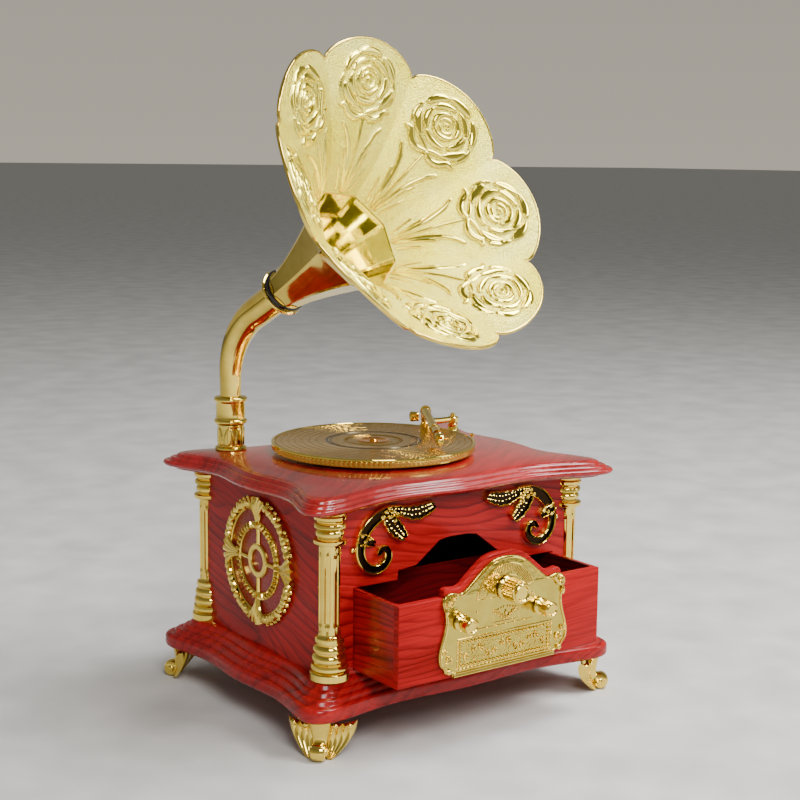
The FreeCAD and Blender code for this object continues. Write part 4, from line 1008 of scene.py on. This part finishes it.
def tonearm_drum():
    """The soundbox, a grooved drum beside the arch."""
    lo, hi = node_box("tonearm_soundbox")
    drum = [(1.9, 0), (2.15, 0.15), (2.2, 0.6), (1.95, 0.8), (1.95, 1.2), (2.2, 1.4), (2.2, 3.2), (2, 3.7),
            (1.5, 3.85), (1.3, 3.6), (0.1, 3.6)]
    shape = Shape().lathe(drum, (35.4, 26.4, (lo.z + hi.z) / 2), (-3.6, 2, 0), 32)
    gild("tonearm_drum", shape, "tonearm", "tonearm_soundbox")


def tonearm_head():
    """The head shell with its needle, cap, finger lift and screws. The sections are (distance from
    the back, half width, lowest z, highest z)."""
    head_at, tail = Vector((15.5, -13.5, 0)), Vector((38, 25, 0))
    turn = atan2(head_at.y - 3 - tail.y, head_at.x - tail.x)
    sections = [(0.6, 1.2, 103.1, 105.6), (1.4, 1.75, 102.6, 106.1), (3.2, 1.9, 102.1, 106.4),
                (5.6, 1.85, 102, 106.2), (7, 1.5, 102, 105.2), (7.6, 1.1, 102.3, 104.2)]
    rows = []
    for u, half, z0, z1 in smooth(sections, 4):
        middle, tall = (z0 + z1) / 2, (z1 - z0) / 2
        rows.append([(u, boxy(cos(a), 0.45) * half, middle + boxy(sin(a), 0.45) * tall) for a in turns(32)])
    head = Shape().grid(rows)
    head.lathe([(0.5, 101.25), (0.55, 102.6)], (6.2, 0, 0), steps=12)
    head.lathe([(0.9, 106.1), (0.9, 106.5), (0.6, 106.75), (0.1, 106.75)], (3.8, 0, 0), steps=20)
    head.tube(smooth([(5, 1.6, 104.6), (5.8, 2.7, 104.4), (6.6, 3.2, 105)], 4), 0.38, 8)
    for u in (2.2, 5.2):
        for side in (-1, 1):
            head.bead((u, side * 1.85, 104.4), 0.5, (1, 0.5, 1), 8)
    move = Matrix.Translation(head_at) @ Matrix.Rotation(turn, 4, "Z")
    gild("tonearm_head_shell", Shape().add(head, move), "tonearm", "tonearm_head")


# ---- horn -------------------------------------------------------------------------------
HORN_TURN, HORN_RISE = radians(12.1), radians(30.6)
BEND_R, BEND_Z = 32.0, 126.2
RING_S, RING_Z = 31.2, 163.1
PETALS, VALLEY = 8, radians(105.3)
STEP = pi / PETALS
HEADING = Vector((sin(HORN_TURN), -cos(HORN_TURN), 0))


def horn_place(s=RING_S, z=RING_Z, rise=HORN_RISE):
    """Z along the pipe and X level, at s ahead of the swivel and at height z."""
    along = HEADING * cos(rise) + Vector((0, 0, 1)) * sin(rise)
    level = Vector((-cos(HORN_TURN), -sin(HORN_TURN), 0))
    up = along.cross(level)
    at = Vector((HORN.x, HORN.y, z)) + HEADING * s
    return Matrix([(level[i], up[i], along[i], at[i]) for i in range(3)] + [(0, 0, 0, 1)])


def horn_stand():
    """The socket with seven tongues in relief on the deck, and the turned collar on it."""
    rows = [(5.35, 1.9 + 8 * i / 26) for i in range(27)]
    socket = [(4, -3), (4, -0.02), (6.3, -0.02), (6.6, 0.3), (6.5, 0.9), (5.9, 1.3), (5.4, 1.6)]
    socket += rows + [(5.7, 10.1), (5.7, 10.5), (4.6, 10.6), (3.4, 10.6)]
    collar = [(5.4, 0), (6.5, 0.15), (6.8, 0.5), (6.8, 1.3), (6.5, 1.7), (6.1, 1.9), (6.05, 2.3),
              (6.05, 8.6), (6.2, 9), (6.6, 9.3), (6.8, 9.7), (6.8, 10.5), (6.4, 11), (5.5, 11.2),
              (4.9, 11.4), (3.3, 11.4)]

    def leafy(r, h, a):
        share = (h - 2.2) / 7.2
        if not 0 < share < 1 or r > 5.5 or r < 5.2:
            return r
        tongue = abs((a / (2 * pi) * 7) % 1 - 0.5)
        width = 0.44 * sqrt(1 - share ** 2)
        if tongue > width:
            return r - 0.1
        return r + 0.38 * (1 - (tongue / width) ** 2) ** 0.5 - (0.22 if tongue < 0.05 else 0)

    shape = Shape().lathe(socket, (HORN.x, HORN.y, DECK_TOP), steps=168, radius=leafy)
    gild("socket_leafy", shape, "case", "horn_socket")
    shape = Shape().lathe(collar, (HORN.x, HORN.y, DECK_TOP + 10.9), steps=72)
    gild("collar_turned", shape, "horn", "horn_collar", 50)


def horn_elbow():
    """The bent pipe, widening from the collar to the joint ring."""
    sections = [(0, 117.9, 90, 4.3), (0, 121, 90, 4.35), (0, 124, 90, 4.45)]
    bend = 90.0 - degrees(HORN_RISE)
    for i in range(25):
        turned = bend * i / 24
        a = radians(turned)
        sections.append((BEND_R * (1 - cos(a)), BEND_Z + BEND_R * sin(a), 90 - turned, 4.5 + 1.75 * i / 24))
    sections.append((RING_S - 1.2, RING_Z - 0.7, degrees(HORN_RISE), 6.35))
    rows = []
    for s, z, rise, r in sections:
        move = horn_place(s, z, radians(rise))
        rows.append([move @ Vector((r * cos(a), r * sin(a), 0)) for a in turns(56)])
    gild("elbow_pipe", Shape().grid(rows), "horn", "horn_elbow", 60)


def horn_ring():
    """The joint ring, with a dark band between two gold beads."""
    profile = [(6.2, -1.6), (9, -1.5), (9.5, -1.2), (9.7, -0.6), (9.5, -0.1), (8.9, 0.1), (8.8, 0.3),
               (9.1, 0.7), (9.2, 1.3), (9, 1.9), (8.4, 2.3), (7.6, 2.9), (6.2, 2.9)]
    ring = Shape().ring(profile, (0, 0, 0), steps=72, tint=lambda i, j: int(5 <= i <= 9))
    gild("joint_ring", Shape().add(ring, horn_place()), "horn", "horn_ring", inlay_and_painted_light=[DARK_BAND])


def facet_ring(radius, height, chamfer=0.045):
    """An octagon whose corners, in line with the valleys between petals, are slightly cut."""
    reach = radius / cos(STEP - chamfer)
    corners = [VALLEY + 2 * STEP * i + side * chamfer for i in range(PETALS) for side in (-1, 1)]
    return [(reach * cos(a), reach * sin(a), height) for a in corners]


def horn_cone():
    """The eight-sided cone between the ring and the bell, painted paler inside as if lit by direct light."""
    outside = smooth([(7.9, 2.4), (8.8, 8), (10.4, 15), (12.9, 24), (16, 34), (19.7, 44)], 5)
    wall = 0.9
    rows = [facet_ring(r, h) for r, h in outside] + [facet_ring(r - wall, h) for r, h in reversed(outside)]
    # painted light: the inner faces take the paler gold
    cone = Shape().grid(rows + rows[:1], caps=False, tint=lambda i, j: int(i >= len(outside)))
    gild("cone_faceted", Shape().add(cone, horn_place()), "horn", "horn_cone", 4, [GOLD_PAINTED_LIGHT])


THROAT_R = 19.3
# The bell's face as (radius, height over the joint ring), its radius taken half way between a
# petal's middle line and a valley, as THROAT_R is.
BELL_CURVE = np.array(smooth([(17, 40), (THROAT_R, 44.3), (24.4, 52), (31.7, 60), (41.3, 68),
                              (50, 74.2), (58.3, 79.3), (65.5, 84)], 12))


def rim_reach(phi):
    """Radius of the rim at phi from a petal's middle line."""
    valley_r, tip_r, roundness = 58.0, 63.3, 1.9
    across = min(1, abs(phi) / STEP)
    return valley_r + (tip_r - valley_r) * (1 - across ** roundness) ** (1 / roundness)


def rose_arc(strokes, radius, middle, span, width, height=0.8, offset=(0, 0)):
    """One curved petal edge of the rose, round its centre at (0, 44.6)."""
    points = []
    for i in range(13):
        a = radians(middle - span / 2 + span * i / 12)
        points.append((offset[0] + radius * cos(a) * 1.22, 44.6 + offset[1] + radius * sin(a) * 1.08))
    strokes.append((points, width, height))


def rose_strokes():
    """Strokes of one petal's relief as (points, half width, height); x across, y out from the throat.
    First the rose from its heart outwards, then leaves and stems on both sides of the middle stem."""
    strokes = []
    rose_arc(strokes, 0.9, 90, 250, 0.6)
    rose_arc(strokes, 2.5, 255, 150, 0.85)
    rose_arc(strokes, 2.6, 70, 130, 0.8)
    for i, middle in enumerate((15, 138, 262)):
        rose_arc(strokes, 4.5, middle, 108, 1.1, 0.9, (0.3 * (i - 1), 0.2 * i))
    for i, middle in enumerate((52, 128, 196, 274, 342)):
        rose_arc(strokes, 7.1 + 0.3 * (i % 2), middle, 62, 1.45, 1)
    for i, middle in enumerate((88, 36, 148, 322, 216)):
        rose_arc(strokes, 10.2 - 0.4 * (i % 2), middle, 46, 1.75, 1)
        rose_arc(strokes, 8.9, middle + 4, 26, 0.5, 0.5)
    for side in (-1, 1):
        for points, width, height in (
                (((0.6, 31.6), (3.8, 30.4), (7.2, 31.4), (10, 34.2), (12.2, 34)), 1.45, 0.95),
                (((0.5, 32.4), (3, 33.6), (6.2, 34.6)), 0.95, 0.7),
                (((12, 37), (13.4, 41), (13, 45)), 1, 0.7),
                (((1.1, 2), (2.1, 10), (3.8, 17.5), (6.8, 24.5), (9.6, 27.8)), 1, 0.8),
                (((2, 5), (4.1, 13.5), (6, 18.5)), 0.6, 0.5),
                (((3.4, 2), (5.2, 8), (6.6, 12)), 0.5, 0.45)):
            strokes.append(([(side * x, y) for x, y in points], width, height))
    strokes.append(([(0, 1), (0, 12), (0.1, 22), (0, 31.5)], 0.65, 0.7))
    return strokes


def relief_map(x, y):
    """Height of the relief over the petal at arrays of x and y, in millimetres."""
    height = np.zeros_like(x)
    for points, width, lift in rose_strokes():
        curve = smooth(points, 4)
        for i in range(len(curve) - 1):
            (ax, ay), (bx, by) = curve[i], curve[i + 1]
            share = (i + 0.5) / (len(curve) - 1)
            half = width * (0.35 + 0.65 * sin(pi * share) ** 0.6)
            t = ((x - ax) * (bx - ax) + (y - ay) * (by - ay)) / max((bx - ax) ** 2 + (by - ay) ** 2, 1e-9)
            t = np.clip(t, 0, 1)
            away = np.hypot(x - ax - t * (bx - ax), y - ay - t * (by - ay))
            height = np.maximum(height, lift * np.sqrt(np.clip(1 - (away / half) ** 2, 0, 1)))
    return height


def petal_faces(wide, tall, thick=1.15):
    """One petal with its middle line along X: grids of points for its front and its back, and the
    relief on the front. Rows run from the throat out and columns across."""
    curve_r, curve_h = BELL_CURVE[:, 0], BELL_CURVE[:, 1]
    phis = np.linspace(-STEP, STEP, wide + 1)
    # The rows lie closer together under the rose than near the throat.
    share = np.interp(np.linspace(0, 1, tall + 1), (0, 0.28, 0.92, 1), (0, 0.45, 0.94, 1))
    inner = THROAT_R * cos(STEP / 2) / np.cos(phis)
    reach = np.array([rim_reach(phi) for phi in phis])
    radius = inner + np.outer(share, reach - inner)
    crossed = radius * np.cos(phis) / cos(STEP / 2)
    height = np.interp(crossed, curve_r, curve_h)
    slope = np.interp(crossed, (curve_r[:-1] + curve_r[1:]) / 2, np.diff(curve_h) / np.diff(curve_r))
    run = np.concatenate(([0], np.cumsum(np.hypot(np.diff(curve_r), np.diff(curve_h)))))
    out = np.interp(crossed, curve_r, run) - np.interp(THROAT_R, curve_r, run)
    edge = np.clip((reach - radius) / 1.2, 0, 1) * np.clip(share[:, None] / 0.03, 0, 1)
    relief = relief_map(radius * np.sin(phis), out) * edge
    tilt = np.sqrt(1 + slope ** 2)

    def lifted(lift):
        x = radius * np.cos(phis) - lift * slope / tilt
        return np.stack((x, radius * np.sin(phis), height + lift / tilt), -1)

    return lifted(relief), lifted(-thick), relief


def petal_middles():
    """The angles of the petals' middle lines round the horn."""
    return [VALLEY + 2 * STEP * petal + STEP for petal in range(PETALS)]


def bell_rim():
    """The rolled edge that runs round all eight petals."""
    path = []
    for middle in petal_middles():
        for phi in np.linspace(-STEP, STEP, 33)[:-1]:
            r = rim_reach(phi) - 0.1
            h = float(np.interp(r * cos(phi) / cos(STEP / 2), BELL_CURVE[:, 0], BELL_CURVE[:, 1]))
            path.append((r * cos(middle + phi), r * sin(middle + phi), h - 0.55))
    return Shape().tube(path + path[:1], 0.6, 10).tinted(1)


def horn_bell():
    """Eight petals, flat across and flaring outwards, with a rose in relief on the front. The back
    has only every coarse-th row and column, and joins the front at the throat and the rim."""
    wide, tall, coarse = 96, 132, 4
    front, back, relief = petal_faces(wide, tall)
    back = back[::coarse, ::coarse]
    shape, strength = Shape(), []
    for middle in petal_middles():
        c, s = cos(middle), sin(middle)
        start_front = len(shape.points)
        start_back = start_front + front[..., 0].size
        for face, tint in ((front, 0), (back, 1)):
            x, y, z = face[..., 0], face[..., 1], face[..., 2]
            turned = np.stack((x * c - y * s, x * s + y * c, z), -1)
            shape.grid(turned.tolist(), loop=False, tint=tint)
        strength += np.clip(relief / 0.3, 0, 1).ravel().tolist() + [1] * back[..., 0].size
        for i in range(wide // coarse):
            for row_front, row_back in ((0, 0), (tall, len(back) - 1)):
                fronts = [start_front + row_front * (wide + 1) + i * coarse + k for k in range(coarse + 1)]
                first = start_back + row_back * (wide // coarse + 1) + i
                shape.faces.append((*fronts, first + 1, first))
                shape.tints.append(1)
    rim = bell_rim()
    strength += [1] * len(rim.points)
    bell = Shape().add(shape.add(rim), horn_place())
    bell.relief = strength
    place("petal_bell", bell, "horn", "frosted_gold", FROSTED, GOLD, replaces=["horn_bell"], angle=60)


# ---- movement ---------------------------------------------------------------------------
def movement():
    """The works inside keep their CAD meshes."""
    finish_nodes(BRASS, "music_cylinder", "cylinder_wheel", "worm_wheel", "spindle_bush", "spring_barrel",
                 "barrel_lid", "winding_key")
    finish_nodes(STEEL, "movement_screws", "comb_screws", "steel_comb", "cylinder_pins", "cylinder_arbor",
                 "idler_pinion", "governor_worm", "barrel_arbor", "ratchet_wheel", "click_spring",
                 "mainspring", "turntable_spindle")
    finish_nodes(ZINC, "movement_bedplate", "comb_block", "cylinder_bearings", "governor_frame")
    finish_nodes(FAN_PLASTIC, "air_brake")
    soften("winding_key", 0.25)


# ---- studio, in the frame's metres --------------------------------------------------------
def area_light(name, at, aim, size, power, color=(1, 1, 1)):
    light = bpy.data.lights.new(name, "AREA")
    light.shape, light.size, light.size_y = "RECTANGLE", size[0], size[1]
    light.energy, light.color = power, color
    lamp = add_object(name, light)
    lamp.location = at
    lamp.rotation_euler = (Vector(aim) - Vector(at)).to_track_quat("-Z", "Y").to_euler()


def studio():
    """A pale floor, a plain sky that darkens upwards and four soft lights."""
    half = 30.0
    mesh = bpy.data.meshes.new("floor")
    mesh.from_pydata([(-half, -half, 0), (half, -half, 0), (half, half, 0), (-half, half, 0)], [],
                     [(0, 1, 2, 3)])
    floor = add_object("floor", mesh)
    mesh.materials.append(plastic("floor_paper", (0.62, 0.61, 0.59), 0.8, 60, 0.01))
    world = bpy.data.worlds.new("studio")
    world.use_nodes = True
    bpy.context.scene.world = world
    nodes, links = world.node_tree.nodes, world.node_tree.links
    rise, sky = nodes.new("ShaderNodeSeparateXYZ"), nodes.new("ShaderNodeValToRGB")
    links.new(nodes.new("ShaderNodeTexCoord").outputs["Generated"], rise.inputs["Vector"])
    links.new(rise.outputs["Z"], sky.inputs["Fac"])
    for element, position, color in zip(sky.color_ramp.elements, (0, 0.6),
                                        ((0.48, 0.445, 0.37, 1), (0.2, 0.2, 0.195, 1))):
        element.position, element.color = position, color
    links.new(sky.outputs["Color"], nodes["Background"].inputs["Color"])
    middle = (0, 0, 0.13)
    area_light("key", (-0.35, -0.85, 0.85), middle, (0.45, 0.45), 11, (1, 0.98, 0.95))
    area_light("fill", (0.85, -0.65, 0.5), middle, (0.3, 0.8), 2)
    area_light("horn", (0.42, -0.62, 0.8), (0, -0.02, 0.22), (0.35, 0.35), 8)
    area_light("top", (0.35, -0.25, 1.1), (0.02, 0, 0.2), (0.5, 0.5), 15)


def camera():
    """The viewpoint, in millimetres from the middle of the case: heading, tilt down, roll and lens."""
    at = Vector((-354.74, -495.94, 216.15))
    heading, tilt, roll = radians(36.04), radians(9.07), radians(0.715)
    forward = Vector((sin(heading) * cos(tilt), cos(heading) * cos(tilt), -sin(tilt)))
    level = Vector((cos(heading), -sin(heading), 0))
    upright = level.cross(forward)
    right = level * cos(roll) + upright * sin(roll)
    up = upright * cos(roll) - level * sin(roll)
    data = bpy.data.cameras.new("camera")
    data.sensor_width, data.lens = 36.0, 68.54
    data.clip_start, data.clip_end = 0.02, 50
    made = add_object("camera", data)
    facing = Matrix([(right[i], up[i], -forward[i], 0) for i in range(3)] + [(0, 0, 0, 1)])
    made.matrix_world = Matrix.Translation((at + CENTRE) / 1000) @ facing
    bpy.context.scene.camera = made


for build in (deck, base_plate, columns, feet, medallions, scroll_ornaments, case, drawer, radio_plate,
              knobs, turntable, tonearm_pegs, tonearm_tube, tonearm_drum, tonearm_head, horn_stand,
              horn_elbow, horn_ring, horn_cone, horn_bell, movement, studio, camera):
    build()
